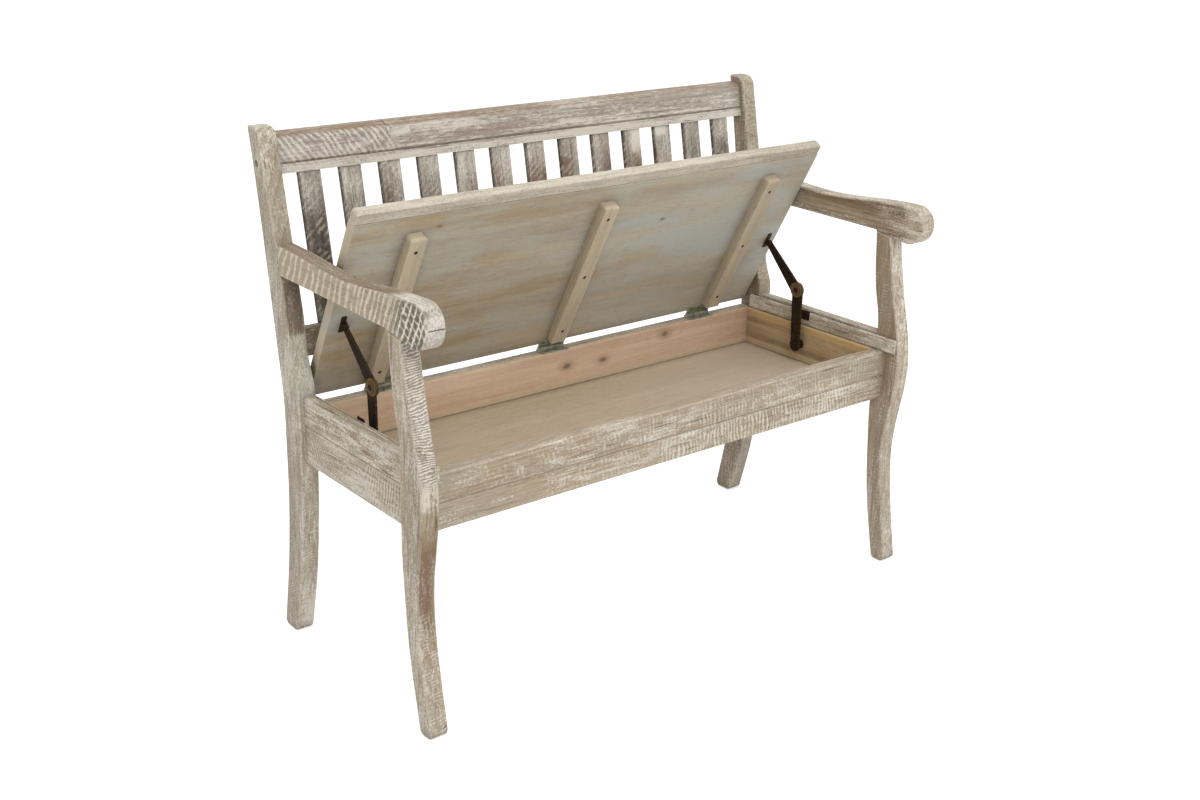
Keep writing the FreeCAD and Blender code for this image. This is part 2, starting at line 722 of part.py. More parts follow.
def group(name, pieces, frame=None):
    """Identical small pieces in one node, as separate solids."""
    compound = doc.addObject("Part::Compound", name)
    compound.Links = pieces
    return keep(compound, name, frame)


batten_screws = []
for number in range(BATTEN_COUNT):
    name = f"lid_batten_{number + 1}"
    middle = batten_middle(number)
    batten = keep(doc.addObject("PartDesign::Body", name), name, "lid")
    section = new_sketch(batten, "XY_Plane", name + "_section")
    draw_rectangle(section, ("Sizes.batten_width", "Layout.batten_length"),
                   (f"{middle} - Sizes.batten_width / 2", "-Layout.batten_far", "Layout.batten_under"))
    pad = add_pad(batten, section, "Sizes.batten_thick")
    dress(batten, "Fillet", pad, batten_far_end, "Sizes.batten_end_round")
    for row in range(SCREW_COUNT):
        sink = new_sketch(batten, "XY_Plane", f"{name}_sink_{row + 1}")
        sink.addGeometry(Part.Circle(flat(0, 0), FreeCAD.Vector(0, 0, 1), size("screw_radius")), False)
        sink.addConstraint(Sketcher.Constraint("Coincident", 0, 3, -1, 1))
        radius = sink.addConstraint(Sketcher.Constraint("Radius", 0, size("screw_radius")))
        sink.setExpression(f"Constraints[{radius}]", "Sizes.screw_radius + Sizes.screw_clearance")
        sink.setExpression("AttachmentOffset.Base.x", middle)
        sink.setExpression("AttachmentOffset.Base.y", f"-({screw_row(row)})")
        sink.setExpression("AttachmentOffset.Base.z", "Layout.batten_under")
        cut_pocket(batten, sink, f"{name}_screw_sink_{row + 1}", "Sizes.screw_sink", True)
        batten_screws.append(rod(f"batten_screw_{number + 1}_{row + 1}", "Sizes.screw_radius",
                                 "Sizes.screw_depth",
                                 (middle, f"-({screw_row(row)})",
                                  "Layout.batten_under + Sizes.screw_sink - Sizes.screw_depth")))
group("batten_screws", batten_screws, "lid")


# Hinges
def hinge_middle(number):
    return f"Sizes.hinge_shift + {number - (HINGE_COUNT - 1) // 2} * Layout.hinge_spacing"


def knuckle_low(number):
    return f"{number} * (Layout.knuckle_length + Sizes.barrel_gap) - Sizes.hinge_length / 2"


def hinge_leaf(name, width, under, own, frame, shift):
    """A leaf with its share of the barrel, cut back at the other leaf's."""
    plate = block(name + "_plate", ("-Sizes.hinge_length / 2", "-" + width, under),
                  ("Sizes.hinge_length", width, "Sizes.leaf_thick"))
    others = [number for number in range(KNUCKLE_COUNT) if number not in own]
    knuckles = [rod(f"{name}_knuckle_{number + 1}", "Sizes.barrel_radius", "Layout.knuckle_length",
                    (knuckle_low(number), "0", "0"), "x") for number in own]
    leaf = doc.addObject("Part::MultiFuse", name + "_leaf")
    leaf.Shapes = [plate] + knuckles
    notches = [block(f"{name}_notch_{number + 1}",
                     (f"{knuckle_low(number)} - Sizes.barrel_gap",
                      "-Sizes.barrel_radius - Sizes.barrel_gap", "-Layout.hinge_rise"),
                     ("Layout.knuckle_length + 2 * Sizes.barrel_gap",
                      "2 * (Sizes.barrel_radius + Sizes.barrel_gap)", "2 * Layout.hinge_rise"))
               for number in others]
    bore = rod(name + "_bore", "Sizes.hinge_pin_radius + Sizes.running_fit",
               "Sizes.hinge_length", ("-Sizes.hinge_length / 2", "0", "0"), "x")
    holes = [rod(f"{name}_hole_{row + 1}", "Sizes.leaf_screw_radius + Sizes.screw_clearance",
                 "Sizes.leaf_thick",
                 (f"{row - 1} * Layout.leaf_screw_spacing", f"Sizes.leaf_screw_edge - {width}", under))
             for row in range(SCREW_COUNT)]
    waste = doc.addObject("Part::MultiFuse", name + "_waste")
    waste.Shapes = notches + [bore] + holes
    finished = doc.addObject("Part::Cut", name)
    finished.Base = leaf
    finished.Tool = waste
    return keep(finished, name, frame, shift)


box_knuckles = range(0, KNUCKLE_COUNT, 2)
lid_knuckles = range(1, KNUCKLE_COUNT, 2)
pins, box_screws, lid_screws = [], [], []
for number in range(HINGE_COUNT):
    shift = hinge_middle(number)
    hinge_leaf(f"hinge_box_leaf_{number + 1}", "Sizes.box_leaf_width", "-Layout.hinge_rise",
               box_knuckles, "hinge", shift)
    hinge_leaf(f"hinge_lid_leaf_{number + 1}", "Sizes.lid_leaf_width", "Sizes.leaf_rise",
               lid_knuckles, "lid", shift)
    pins.append(rod(f"hinge_pin_{number + 1}", "Sizes.hinge_pin_radius", "Sizes.hinge_length",
                    (f"{shift} - Sizes.hinge_length / 2", "0", "0"), "x"))
    for row in range(SCREW_COUNT):
        along = f"{shift} + {row - 1} * Layout.leaf_screw_spacing"
        box_screws.append(rod(f"box_screw_{number + 1}_{row + 1}", "Sizes.leaf_screw_radius",
                              "Layout.leaf_screw_depth",
                              (along, "Sizes.leaf_screw_edge - Sizes.box_leaf_width",
                               "-Layout.hinge_rise")))
        lid_screws.append(rod(f"lid_screw_{number + 1}_{row + 1}", "Sizes.leaf_screw_radius",
                              "Layout.leaf_screw_depth",
                              (along, "Sizes.leaf_screw_edge - Sizes.lid_leaf_width",
                               "Layout.lid_lift - Layout.leaf_screw_depth")))
group("hinge_pins", pins, "hinge")
group("hinge_screws_box", box_screws, "hinge")
group("hinge_screws_lid", lid_screws, "lid")


# Stays
def fuse(name, pieces, frame, shift="0"):
    joined = doc.addObject("Part::MultiFuse", name)
    joined.Shapes = pieces
    return keep(joined, name, frame, shift)


def stay_plane(side, place_name):
    """How far from the middle a face of a stay lies, as a formula."""
    return f"Layout.{side}_stay + {place_name}"


def tapered_bar(name, low, bottom, bottom_width, top_width):
    """A flat bar that stands on Z = bottom and changes width to its top."""
    bar = doc.addObject("Part::Wedge", name)
    bar.Placement.Rotation = FreeCAD.Rotation(ABOUT_X, 90)
    corners = {
        "Xmin": low, "Xmax": f"{low} + Sizes.stay_bar_thick",
        "X2min": low, "X2max": f"{low} + Sizes.stay_bar_thick",
        "Ymin": bottom, "Ymax": f"{bottom} + Layout.stay_arm_length",
        "Zmin": f"-{bottom_width} / 2", "Zmax": f"{bottom_width} / 2",
        "Z2min": f"-{top_width} / 2", "Z2max": f"{top_width} / 2",
    }
    for corner, formula in corners.items():
        bar.setExpression(corner, formula)
    return bar


def stay_arm(name, side, near, far, bar_ends, eye_radius, reach, frame):
    """A flat bar with a drilled eye at its pivot and a riveted disc at the elbow."""
    low = mirrored_low(side, near, far)
    bar = tapered_bar(name + "_bar", low, f"min(0; {reach})", *bar_ends)
    eye = rod(name + "_eye", eye_radius, "Sizes.stay_bar_thick", (low, "0", "0"), "x")
    disc = rod(name + "_disc", "Sizes.elbow_radius", "Sizes.stay_bar_thick", (low, "0", reach), "x")
    head_low = mirrored_low(side, far, f"{far} + Sizes.rivet_thick")
    if frame == "upper_arm":
        head_low = mirrored_low(side, f"{near} - Sizes.rivet_thick", near)
    head = rod(name + "_rivet", "Sizes.elbow_rivet_radius", "Sizes.rivet_thick",
               (head_low, "0", reach), "x")
    blank = doc.addObject("Part::MultiFuse", name + "_blank")
    blank.Shapes = [bar, eye, disc, head]
    bore = rod(name + "_bore", "Sizes.stay_pin_radius + Sizes.running_fit", "Sizes.stay_bar_thick",
               (low, "0", "0"), "x")
    arm = doc.addObject("Part::Cut", name)
    arm.Base = blank
    arm.Tool = bore
    return keep(arm, name, frame)


keepers = []
for side in SIDES:
    # Lid bracket: a flange under the lid, an ear, and the pivot with its head
    name = "stay_bracket_" + side
    ear_near = stay_plane(side, "0")
    ear_far = stay_plane(side, "Sizes.bracket_thick")
    flange_far = stay_plane(side, "Sizes.bracket_width")
    upper_near = stay_plane(side, "Layout.stay_upper_near")
    upper_far = stay_plane(side, "Layout.stay_upper_far")
    lower_near = stay_plane(side, "Layout.stay_lower_near")
    lower_far = stay_plane(side, "Layout.stay_lower_far")
    ear_low = mirrored_low(side, ear_near, ear_far)
    pin_far = f"{upper_far} + Sizes.stay_gap"
    head_far = f"{pin_far} + Sizes.rivet_thick"
    fuse(name, [
        block(name + "_flange", (mirrored_low(side, ear_near, flange_far),
                                 "-Layout.pivot_run - Sizes.bracket_length / 2",
                                 "Layout.lid_lift - Sizes.bracket_thick"),
              ("Sizes.bracket_width", "Sizes.bracket_length", "Sizes.bracket_thick")),
        block(name + "_ear", (ear_low, "-Layout.pivot_run - Sizes.stay_lid_width / 2",
                              "Layout.pivot_rise"),
              ("Sizes.bracket_thick", "Sizes.stay_lid_width", "Layout.lid_lift - Layout.pivot_rise")),
        rod(name + "_ear_end", "Sizes.stay_lid_width / 2", "Sizes.bracket_thick",
            (ear_low, "-Layout.pivot_run", "Layout.pivot_rise"), "x"),
        rod(name + "_pin", "Sizes.stay_pin_radius", f"{pin_far} - ({ear_near})",
            (mirrored_low(side, ear_near, pin_far), "-Layout.pivot_run", "Layout.pivot_rise"), "x"),
        rod(name + "_head", "Sizes.rivet_radius", "Sizes.rivet_thick",
            (mirrored_low(side, pin_far, head_far), "-Layout.pivot_run", "Layout.pivot_rise"), "x"),
    ], "lid")
    # The two arms, in planes side by side so that they fold past each other
    stay_arm("stay_upper_arm_" + side, side, upper_near, upper_far,
             ("Sizes.stay_elbow_width", "Sizes.stay_lid_width"), "Sizes.stay_lid_width / 2",
             "-Layout.stay_arm_length", "upper_arm")
    stay_arm("stay_lower_arm_" + side, side, lower_near, lower_far,
             ("Sizes.stay_foot_width", "Sizes.stay_elbow_width"), "Sizes.stay_foot_radius",
             "Layout.stay_arm_length", "lower_arm")
    # Base: a flange on the lining, a stud that carries the lower arm, its head
    name = "stay_base_" + side
    flange_near = "Layout.liner_face - Sizes.base_flange_thick"
    stud_near = f"{lower_far} + Sizes.stay_gap"
    pin_near = f"{lower_near} - Sizes.stay_gap"
    head_near = f"{pin_near} - Sizes.rivet_thick"
    fuse(name, [
        rod(name + "_flange", "Sizes.base_flange_radius", "Sizes.base_flange_thick",
            (mirrored_low(side, flange_near, "Layout.liner_face"), "0", "0"), "x"),
        rod(name + "_stud", "Sizes.rivet_radius", f"{flange_near} - ({stud_near})",
            (mirrored_low(side, stud_near, flange_near), "0", "0"), "x"),
        rod(name + "_pin", "Sizes.stay_pin_radius", f"{stud_near} - ({head_near})",
            (mirrored_low(side, head_near, stud_near), "0", "0"), "x"),
        rod(name + "_head", "Sizes.rivet_radius", "Sizes.rivet_thick",
            (mirrored_low(side, head_near, pin_near), "0", "0"), "x"),
    ], "stay_foot")
    keepers.append(block("stay_keeper_" + side,
                         (mirrored_low(side, "Layout.strip_face - Sizes.keeper_thick",
                                       "Layout.strip_face"),
                          "Layout.stay_foot_y - Sizes.keeper_shift - Sizes.keeper_width / 2",
                          "Sizes.box_rim + Sizes.strip_width + Sizes.keeper_rise - Sizes.keeper_height"),
                         ("Sizes.keeper_thick", "Sizes.keeper_width", "Sizes.keeper_height")))
group("stay_keepers", keepers)

# Dowel plugs, a little below the posts' outer faces
plug = plug_point()
plugs = []
for side in SIDES:
    plug_low = mirrored_low(side, "Layout.outer_x - Sizes.plug_depth", "Layout.outer_x - Sizes.plug_sink")
    plugs.append(rod("dowel_plug_" + side, "Sizes.plug_radius - Sizes.running_fit",
                     "Sizes.plug_depth - Sizes.plug_sink", (plug_low, str(plug.x), str(plug.y)), "x"))
group("dowel_plugs", plugs)

doc.recompute()
for thing in doc.Objects:
    if "Invalid" in thing.State or "Error" in thing.State:
        raise RuntimeError(f"{thing.Label} failed: {thing.State}")
for sub_part in sub_parts:
    if sub_part.Shape.isNull() or not sub_part.Shape.isValid():
        raise RuntimeError(f"{sub_part.Label} has no sound shape")

os.makedirs("parts", exist_ok=True)
for sub_part in sub_parts:
    sub_part.Shape.exportStep(f"parts/{sub_part.Label}.step")
print(len(sub_parts), "sub-parts written")
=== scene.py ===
import math
import bpy
from mathutils import Matrix, Vector


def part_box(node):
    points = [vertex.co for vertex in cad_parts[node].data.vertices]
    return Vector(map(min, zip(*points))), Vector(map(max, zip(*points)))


# The looks of a settle bench in limed, rough-sawn wood. Metres, in the frame
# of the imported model: +X to the bench's right end, +Y to its back, +Z up.

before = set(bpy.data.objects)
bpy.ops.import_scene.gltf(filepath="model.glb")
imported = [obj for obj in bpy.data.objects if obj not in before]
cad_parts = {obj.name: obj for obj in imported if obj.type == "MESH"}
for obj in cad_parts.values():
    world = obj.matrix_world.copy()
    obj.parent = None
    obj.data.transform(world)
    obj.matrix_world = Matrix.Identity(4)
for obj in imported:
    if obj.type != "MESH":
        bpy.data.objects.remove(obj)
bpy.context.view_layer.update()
scene = bpy.context.scene

# The ways that a face may look, and zones without a limit
LEFT, RIGHT, FRONT, TOP, ANY_WAY = (-1, 0, 0), (1, 0, 0), (0, -1, 0), (0, 0, 1), (0, 0, 0)
NO_LOW_LIMIT, NO_HIGH_LIMIT = (-2, -2, -2), (2, 2, 2)

# Turns that bring a board's grain to X
LID_OPENING = math.radians(63)
REST_LEAN = math.radians(11.8)
GRAIN_ALONG_X = (0, 0, 0)
GRAIN_ALONG_Y = (0, 0, -math.pi / 2)
GRAIN_UPRIGHT = (0, math.pi / 2, 0)
GRAIN_UP_THE_REST = (REST_LEAN, math.pi / 2, 0)
GRAIN_ALONG_LID = (LID_OPENING, 0, 0)
GRAIN_DOWN_LID = (LID_OPENING - math.pi / 2, math.pi / 2, 0)

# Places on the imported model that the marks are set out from
BOX_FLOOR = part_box("bottom_panel")[1][2]
BACK_LINER_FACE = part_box("back_liner")[0][1]
ARM_OUTSIDE, ARM_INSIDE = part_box("arm_left")[0][0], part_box("arm_left")[1][0]
ELBOW_RADIUS = 0.015
LOWER_ARM_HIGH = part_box("stay_lower_arm_left")[1]
ELBOW = (0, LOWER_ARM_HIGH[1] - ELBOW_RADIUS, LOWER_ARM_HIGH[2] - ELBOW_RADIUS)

# Screen codes of the tones that all boards share
LIME_TONE = "dcd6ca"
PORE_TONE = "4a3b2d"
CRACK_TONE = "54453a"
KNOT_TONE = "3a2d22"
KNOT_HALO_TONE = "7d6148"
SAWN_TONE = "6e6558"
# Tone of paler edges, from wear and a painted highlight
EDGE_WEAR_AND_HIGHLIGHT_TONE = "d8d0c0"
# Tone of the painted shade where pieces meet
PAINTED_SHADE_TONE = "4b3f31"


def tone(code):
    """A colour from its screen code, as the shaders count it."""
    shares = [int(code[at:at + 2], 16) / 255 for at in (0, 2, 4)]
    linear = [share / 12.92 if share <= 0.04045 else ((share + 0.055) / 1.055) ** 2.4 for share in shares]
    return (*linear, 1)


# Node helpers
def add(tree, kind, sockets=None, **settings):
    """A node with its settings, and with values or links on its sockets."""
    made = tree.nodes.new(kind)
    for name, value in settings.items():
        setattr(made, name, value)
    for name, value in (sockets or {}).items():
        if isinstance(value, bpy.types.NodeSocket):
            tree.links.new(value, made.inputs[name])
        else:
            made.inputs[name].default_value = value
    return made


def reckon(tree, operation, *values, clamp=False):
    """A sum on plain numbers, such as MULTIPLY_ADD."""
    made = add(tree, "ShaderNodeMath", dict(enumerate(values)), operation=operation, use_clamp=clamp)
    return made.outputs[0]


def reckon_vector(tree, operation, *values, out="Vector"):
    """A sum on places or directions."""
    made = add(tree, "ShaderNodeVectorMath", dict(enumerate(values)), operation=operation)
    return made.outputs[out]


def ease(tree, value, low, high):
    """0 below low, 1 above high, and smooth between."""
    return add(tree, "ShaderNodeMapRange", {"Value": value, "From Min": low, "From Max": high},
               interpolation_type="SMOOTHSTEP").outputs["Result"]


def noise(tree, place, stretch, detail=3, roughness=0.55):
    """Noise on a place that is first stretched along each axis."""
    drawn = reckon_vector(tree, "MULTIPLY", place, stretch)
    return add(tree, "ShaderNodeTexNoise",
               {"Vector": drawn, "Scale": 1.0, "Detail": detail, "Roughness": roughness}).outputs["Fac"]


def mixed(tree, share, first, second):
    """The first colour with a share of the second laid over it."""
    # This node's colour sockets go by number, because their names repeat
    colour_a, colour_b, colour_result = 6, 7, 2
    made = add(tree, "ShaderNodeMix", {"Factor": share}, data_type="RGBA")
    for place, value in ((colour_a, first), (colour_b, second)):
        if isinstance(value, bpy.types.NodeSocket):
            tree.links.new(value, made.inputs[place])
        else:
            made.inputs[place].default_value = value
    return made.outputs[colour_result]


def new_group(name, sockets, results):
    """A shader node group with named inputs and outputs."""
    tree = bpy.data.node_groups.new(name, "ShaderNodeTree")
    for label, (kind, default) in sockets.items():
        socket = tree.interface.new_socket(label, in_out="INPUT", socket_type="NodeSocket" + kind)
        if default is not None:
            socket.default_value = default
    for label in results:
        tree.interface.new_socket(label, in_out="OUTPUT", socket_type="NodeSocketFloat")
    entry = tree.nodes.new("NodeGroupInput")
    finish = tree.nodes.new("NodeGroupOutput")
    return tree, entry.outputs, finish.inputs


def put_group(tree, group, sockets):
    """Places a group in a tree and gives back its outputs."""
    made = tree.nodes.new("ShaderNodeGroup")
    made.node_tree = group
    for name, value in sockets.items():
        if isinstance(value, bpy.types.NodeSocket):
            tree.links.new(value, made.inputs[name])
        else:
            made.inputs[name].default_value = value
    return made.outputs


def wood_figure():
    """Year rings cut through a board, with bands, clouds, fibres, pores and cracks."""
    tree, given, results = new_group("wood_figure", {
        "Place": ("Vector", None), "Ring Width": ("Float", 0.008), "Pith Depth": ("Float", 0.06),
        "Waver": ("Float", 2.5)}, ("Rings", "Bands", "Clouds", "Fibres", "Pores", "Cracks"))
    place = given["Place"]
    drift = noise(tree, place, (1.5, 9, 9), detail=2, roughness=0.5)
    apart = add(tree, "ShaderNodeSeparateXYZ", {0: place}).outputs
    sunk = reckon(tree, "ADD", apart[1], given["Pith Depth"])
    radius = reckon(tree, "SQRT", reckon(tree, "ADD", reckon(tree, "MULTIPLY", sunk, sunk),
                                         reckon(tree, "MULTIPLY", apart[2], apart[2])))
    count = reckon(tree, "DIVIDE", radius, given["Ring Width"])
    shifted = reckon(tree, "MULTIPLY_ADD", drift, given["Waver"], count)
    ring = reckon(tree, "FRACT", shifted)
    late_wood_bite = 2.2
    tree.links.new(reckon(tree, "POWER", ring, late_wood_bite), results["Rings"])
    # What each result is drawn from: stretch, detail, roughness, and the two
    # levels of the noise between which it comes up
    streaks = {
        "Bands": ((1.8, 26, 26), 3, 0.55, 0.3, 0.7), "Fibres": ((22, 700, 700), 3, 0.65, 0.3, 0.7),
        "Pores": ((45, 1300, 1300), 1, 0.55, 0.6, 0.72), "Clouds": ((4, 15, 15), 4, 0.6, 0.35, 0.65),
        "Cracks": ((7, 210, 210), 4, 0.6, 0.6, 0.7)}
    for label, (stretch, detail, roughness, low, high) in streaks.items():
        drawn = noise(tree, place, stretch, detail=detail, roughness=roughness)
        tree.links.new(ease(tree, drawn, low, high), results[label])
    return tree


def lime_wash():
    """Where white lime still sits in the wood: patches, brush strokes, specks."""
    tree, given, results = new_group("lime_wash", {
        "Place": ("Vector", None), "Cover": ("Float", 0.5), "Patch": ("Float", 12.0),
        "Softness": ("Float", 0.12)}, ("Lime",))
    place = given["Place"]
    wide = add(tree, "ShaderNodeTexNoise", {
        "Vector": reckon_vector(tree, "MULTIPLY", place, (0.35, 1, 1)), "Scale": given["Patch"],
        "Detail": 4, "Roughness": 0.65}).outputs["Fac"]
    strokes = noise(tree, place, (16, 260, 260), detail=3, roughness=0.65)
    specks = noise(tree, place, (210, 340, 340), detail=3, roughness=0.75)
    wide_share, stroke_share, speck_share = 0.36, 0.28, 0.36
    level = reckon(tree, "MULTIPLY_ADD", wide, wide_share, reckon(
        tree, "MULTIPLY_ADD", strokes, stroke_share, reckon(tree, "MULTIPLY", specks, speck_share)))
    # More cover lowers the level from which lime shows
    line = reckon(tree, "MULTIPLY_ADD", given["Cover"], -0.3, 0.62)
    high = reckon(tree, "ADD", line, given["Softness"])
    tree.links.new(ease(tree, level, line, high), results["Lime"])
    return tree


def saw_marks():
    """Ridges that a saw leaves across a board, uneven and broken up."""
    tree, given, results = new_group("saw_marks", {
        "Place": ("Vector", None), "Pitch": ("Float", 0.007), "Slant": ("Float", 0.1),
        "Breaks": ("Float", 0.5), "Width": ("Float", 0.5)}, ("Ridges",))
    place = given["Place"]
    apart = add(tree, "ShaderNodeSeparateXYZ", {0: place}).outputs
    sway_reach = 0.03
    sway = reckon(tree, "MULTIPLY", noise(tree, place, (18, 12, 12), detail=5, roughness=0.6), sway_reach)
    across = reckon(tree, "ADD", apart[1], apart[2])
    along = reckon(tree, "ADD", reckon(tree, "MULTIPLY_ADD", across, given["Slant"], apart[0]), sway)
    ridge = reckon(tree, "PINGPONG", reckon(tree, "DIVIDE", along, given["Pitch"]), 0.5)
    rough = noise(tree, place, (120, 170, 170), detail=4, roughness=0.75)
    # Wider ridges start from a lower level, which is uneven along the board
    uneven = reckon(tree, "MULTIPLY_ADD", noise(tree, place, (35, 25, 25), detail=2), 0.3, 0.47)
    low = reckon(tree, "MULTIPLY_ADD", given["Width"], -0.4, uneven)
    crisp = ease(tree, reckon(tree, "MULTIPLY_ADD", rough, 0.55, ridge), low, reckon(tree, "ADD", low, 0.25))
    # More breaks raise the level under which the ridges are gone
    gone = noise(tree, place, (40, 60, 60), detail=4, roughness=0.7)
    line = reckon(tree, "MULTIPLY_ADD", given["Breaks"], 0.4, 0.24)
    kept = ease(tree, gone, line, reckon(tree, "ADD", line, 0.2))
    tree.links.new(reckon(tree, "MULTIPLY", crisp, kept), results["Ridges"])
    return tree


def zone():
    """A box-shaped part of a piece, on the faces that look one way."""
    tree, given, results = new_group("zone", {
        "Place": ("Vector", None), "Normal": ("Vector", None), "Low": ("Vector", NO_LOW_LIMIT),
        "High": ("Vector", NO_HIGH_LIMIT), "Soft": ("Float", 0.01), "Ragged": ("Float", 0.01),
        "Facing": ("Vector", ANY_WAY)}, ("Inside",))
    tears_per_metre = 38
    torn = add(tree, "ShaderNodeTexNoise", {
        "Vector": given["Place"], "Scale": tears_per_metre, "Detail": 3}).outputs["Color"]
    centred = reckon_vector(tree, "SUBTRACT", torn, (0.5, 0.5, 0.5))
    ragged = add(tree, "ShaderNodeVectorMath", {0: centred, "Scale": given["Ragged"]},
                 operation="SCALE").outputs[0]
    place = reckon_vector(tree, "ADD", given["Place"], ragged)
    above = reckon_vector(tree, "SUBTRACT", place, given["Low"])
    below = reckon_vector(tree, "SUBTRACT", given["High"], place)
    nearest = reckon_vector(tree, "MINIMUM", above, below)
    apart = add(tree, "ShaderNodeSeparateXYZ", {0: nearest}).outputs
    depth = reckon(tree, "MINIMUM", apart[0], reckon(tree, "MINIMUM", apart[1], apart[2]))
    inside = ease(tree, depth, reckon(tree, "MULTIPLY", given["Soft"], -0.5),
                  reckon(tree, "MULTIPLY", given["Soft"], 0.5))
    turned = reckon_vector(tree, "DOT_PRODUCT", given["Normal"], given["Facing"], out="Value")
    # A zone that faces no way takes in every face
    no_way = reckon(tree, "SUBTRACT", 1, reckon_vector(tree, "LENGTH", given["Facing"], out="Value"))
    facing = ease(tree, reckon(tree, "MAXIMUM", turned, no_way), 0.55, 0.8)
    tree.links.new(reckon(tree, "MULTIPLY", inside, facing), results["Inside"])
    return tree


def edge_rub():
    """Edges and corners in broken lines, paled by wear from hands and feet and by a painted highlight."""
    tree, given, results = new_group("edge_rub", {
        "Place": ("Vector", None), "Reach": ("Float", 0.003)}, ("Wear And Highlight",))
    # The bevel finds the edges that get the paler wear and painted highlight
    rounded = add(tree, "ShaderNodeBevel", {"Radius": given["Reach"]}, samples=4).outputs[0]
    face = add(tree, "ShaderNodeNewGeometry").outputs["True Normal"]
    turned = reckon_vector(tree, "DOT_PRODUCT", rounded, face, out="Value")
    bent = ease(tree, reckon(tree, "SUBTRACT", 1, turned), 0.004, 0.07)
    broken = ease(tree, noise(tree, given["Place"], (60, 200, 200), detail=3, roughness=0.65), 0.36, 0.56)
    tree.links.new(reckon(tree, "MULTIPLY", bent, broken), results["Wear And Highlight"])
    return tree


def corner_grime():
    """Painted shade where pieces meet: the more shut in a spot is, the more shade, clouded by noise."""
    tree, given, results = new_group("corner_grime", {
        "Place": ("Vector", None), "Reach": ("Float", 0.02)}, ("Painted Shade",))
    # Painted shade: the Ambient Occlusion node finds how shut in each spot is
    around = add(tree, "ShaderNodeAmbientOcclusion", {"Distance": given["Reach"]}, samples=6)
    shut = reckon(tree, "SUBTRACT", 1, around.outputs["AO"])
    least = 0.4
    cloudy = reckon(tree, "ADD", noise(tree, given["Place"], (50, 90, 90), detail=2), least)
    tree.links.new(reckon(tree, "MULTIPLY", shut, cloudy, clamp=True), results["Painted Shade"])
    return tree


def wood_knot():
    """A round knot about a centre, longer along the grain."""
    tree, given, results = new_group("wood_knot", {
        "Place": ("Vector", None), "Centre": ("Vector", None), "Size": ("Float", 0.006)}, ("Knot", "Halo"))
    away = reckon_vector(tree, "SUBTRACT", given["Place"], given["Centre"])
    bumpy = noise(tree, given["Place"], (140, 140, 140), detail=2)
    along_grain = (0.6, 1, 1)
    squeezed = reckon_vector(tree, "MULTIPLY", away, along_grain)
    length = reckon_vector(tree, "LENGTH", squeezed, out="Value")
    distance = reckon(tree, "DIVIDE", length, given["Size"])
    ragged = reckon(tree, "MULTIPLY_ADD", bumpy, 0.9, reckon(tree, "SUBTRACT", distance, 0.45))
    tree.links.new(reckon(tree, "SUBTRACT", 1, ease(tree, ragged, 0.5, 1.1)), results["Knot"])
    tree.links.new(reckon(tree, "SUBTRACT", 1, ease(tree, ragged, 0.8, 3.0)), results["Halo"])
    return tree


def metal_wear():
    """Mottling, fine scratches and spots of rust or bare metal."""
    labels = ("Mottle", "Scratches", "Spots")
    tree, given, results = new_group("metal_wear", {"Place": ("Vector", None)}, labels)
    place = given["Place"]
    mottle = noise(tree, place, (90, 90, 90), detail=4, roughness=0.6)
    tree.links.new(ease(tree, mottle, 0.3, 0.7), results["Mottle"])
    scratches = noise(tree, place, (60, 900, 200), detail=2)
    tree.links.new(ease(tree, scratches, 0.62, 0.7), results["Scratches"])
    spots = noise(tree, place, (330, 330, 330), detail=3)
    tree.links.new(ease(tree, spots, 0.63, 0.72), results["Spots"])
    return tree


def rivet_highlight_ring():
    """A ring of painted highlight about a rivet whose pin lies along X."""
    tree, given, results = new_group("rivet_highlight_ring", {
        "Place": ("Vector", None), "Centre": ("Vector", None), "Radius": ("Float", 0.007)}, ("Ring",))
    away = reckon_vector(tree, "SUBTRACT", given["Place"], given["Centre"])
    flat = reckon_vector(tree, "LENGTH", reckon_vector(tree, "MULTIPLY", away, (0, 1, 1)), out="Value")
    radii = reckon(tree, "DIVIDE", flat, given["Radius"])
    off_line = reckon(tree, "ABSOLUTE", reckon(tree, "SUBTRACT", radii, 1))
    tree.links.new(reckon(tree, "SUBTRACT", 1, ease(tree, off_line, 0.08, 0.3)), results["Ring"])
    return tree


FIGURE = wood_figure()
LIME = lime_wash()
SAWN = saw_marks()
ZONE = zone()
EDGE_WEAR_AND_HIGHLIGHT = edge_rub()
CORNER_SHADE = corner_grime()
KNOT = wood_knot()
METAL = metal_wear()
RIVET_HIGHLIGHT = rivet_highlight_ring()


# Materials
def new_material(name):
    """A bare material with its shader already on the output."""
    material = bpy.data.materials.new(name)
    material.use_nodes = True
    tree = material.node_tree
    tree.nodes.clear()
    shader = add(tree, "ShaderNodeBsdfPrincipled")
    finish = add(tree, "ShaderNodeOutputMaterial")
    tree.links.new(shader.outputs[0], finish.inputs["Surface"])
    return material, tree, shader


# Marks that a board can have, each in a zone of it
def box_zone(facing=ANY_WAY, soft=0.01, ragged=0.01, **limits):
    """A zone from limits such as x=(low, high); the rest is unlimited."""
    low, high = list(NO_LOW_LIMIT), list(NO_HIGH_LIMIT)
    for axis, (start, end) in limits.items():
        low["xyz".index(axis)] = start
        high["xyz".index(axis)] = end
    return {"Low": low, "High": high, "Facing": facing, "Soft": soft, "Ragged": ragged}


def stain_and_painted_light(code, share, where, even=0.6, bare=0.5):
    """A tone laid over a zone, evenly or in bands, that keeps some of the lime off: a stain, and on some
    zones painted shade or painted light.
    """
    return {"tone": code, "share": share, "where": where, "even": even, "bare": bare}


def lime_patch(cover, share, where, patch=20.0, softness=0.1):
    """More lime than on the rest of the board."""
    return {"cover": cover, "share": share, "where": where, "patch": patch, "softness": softness}


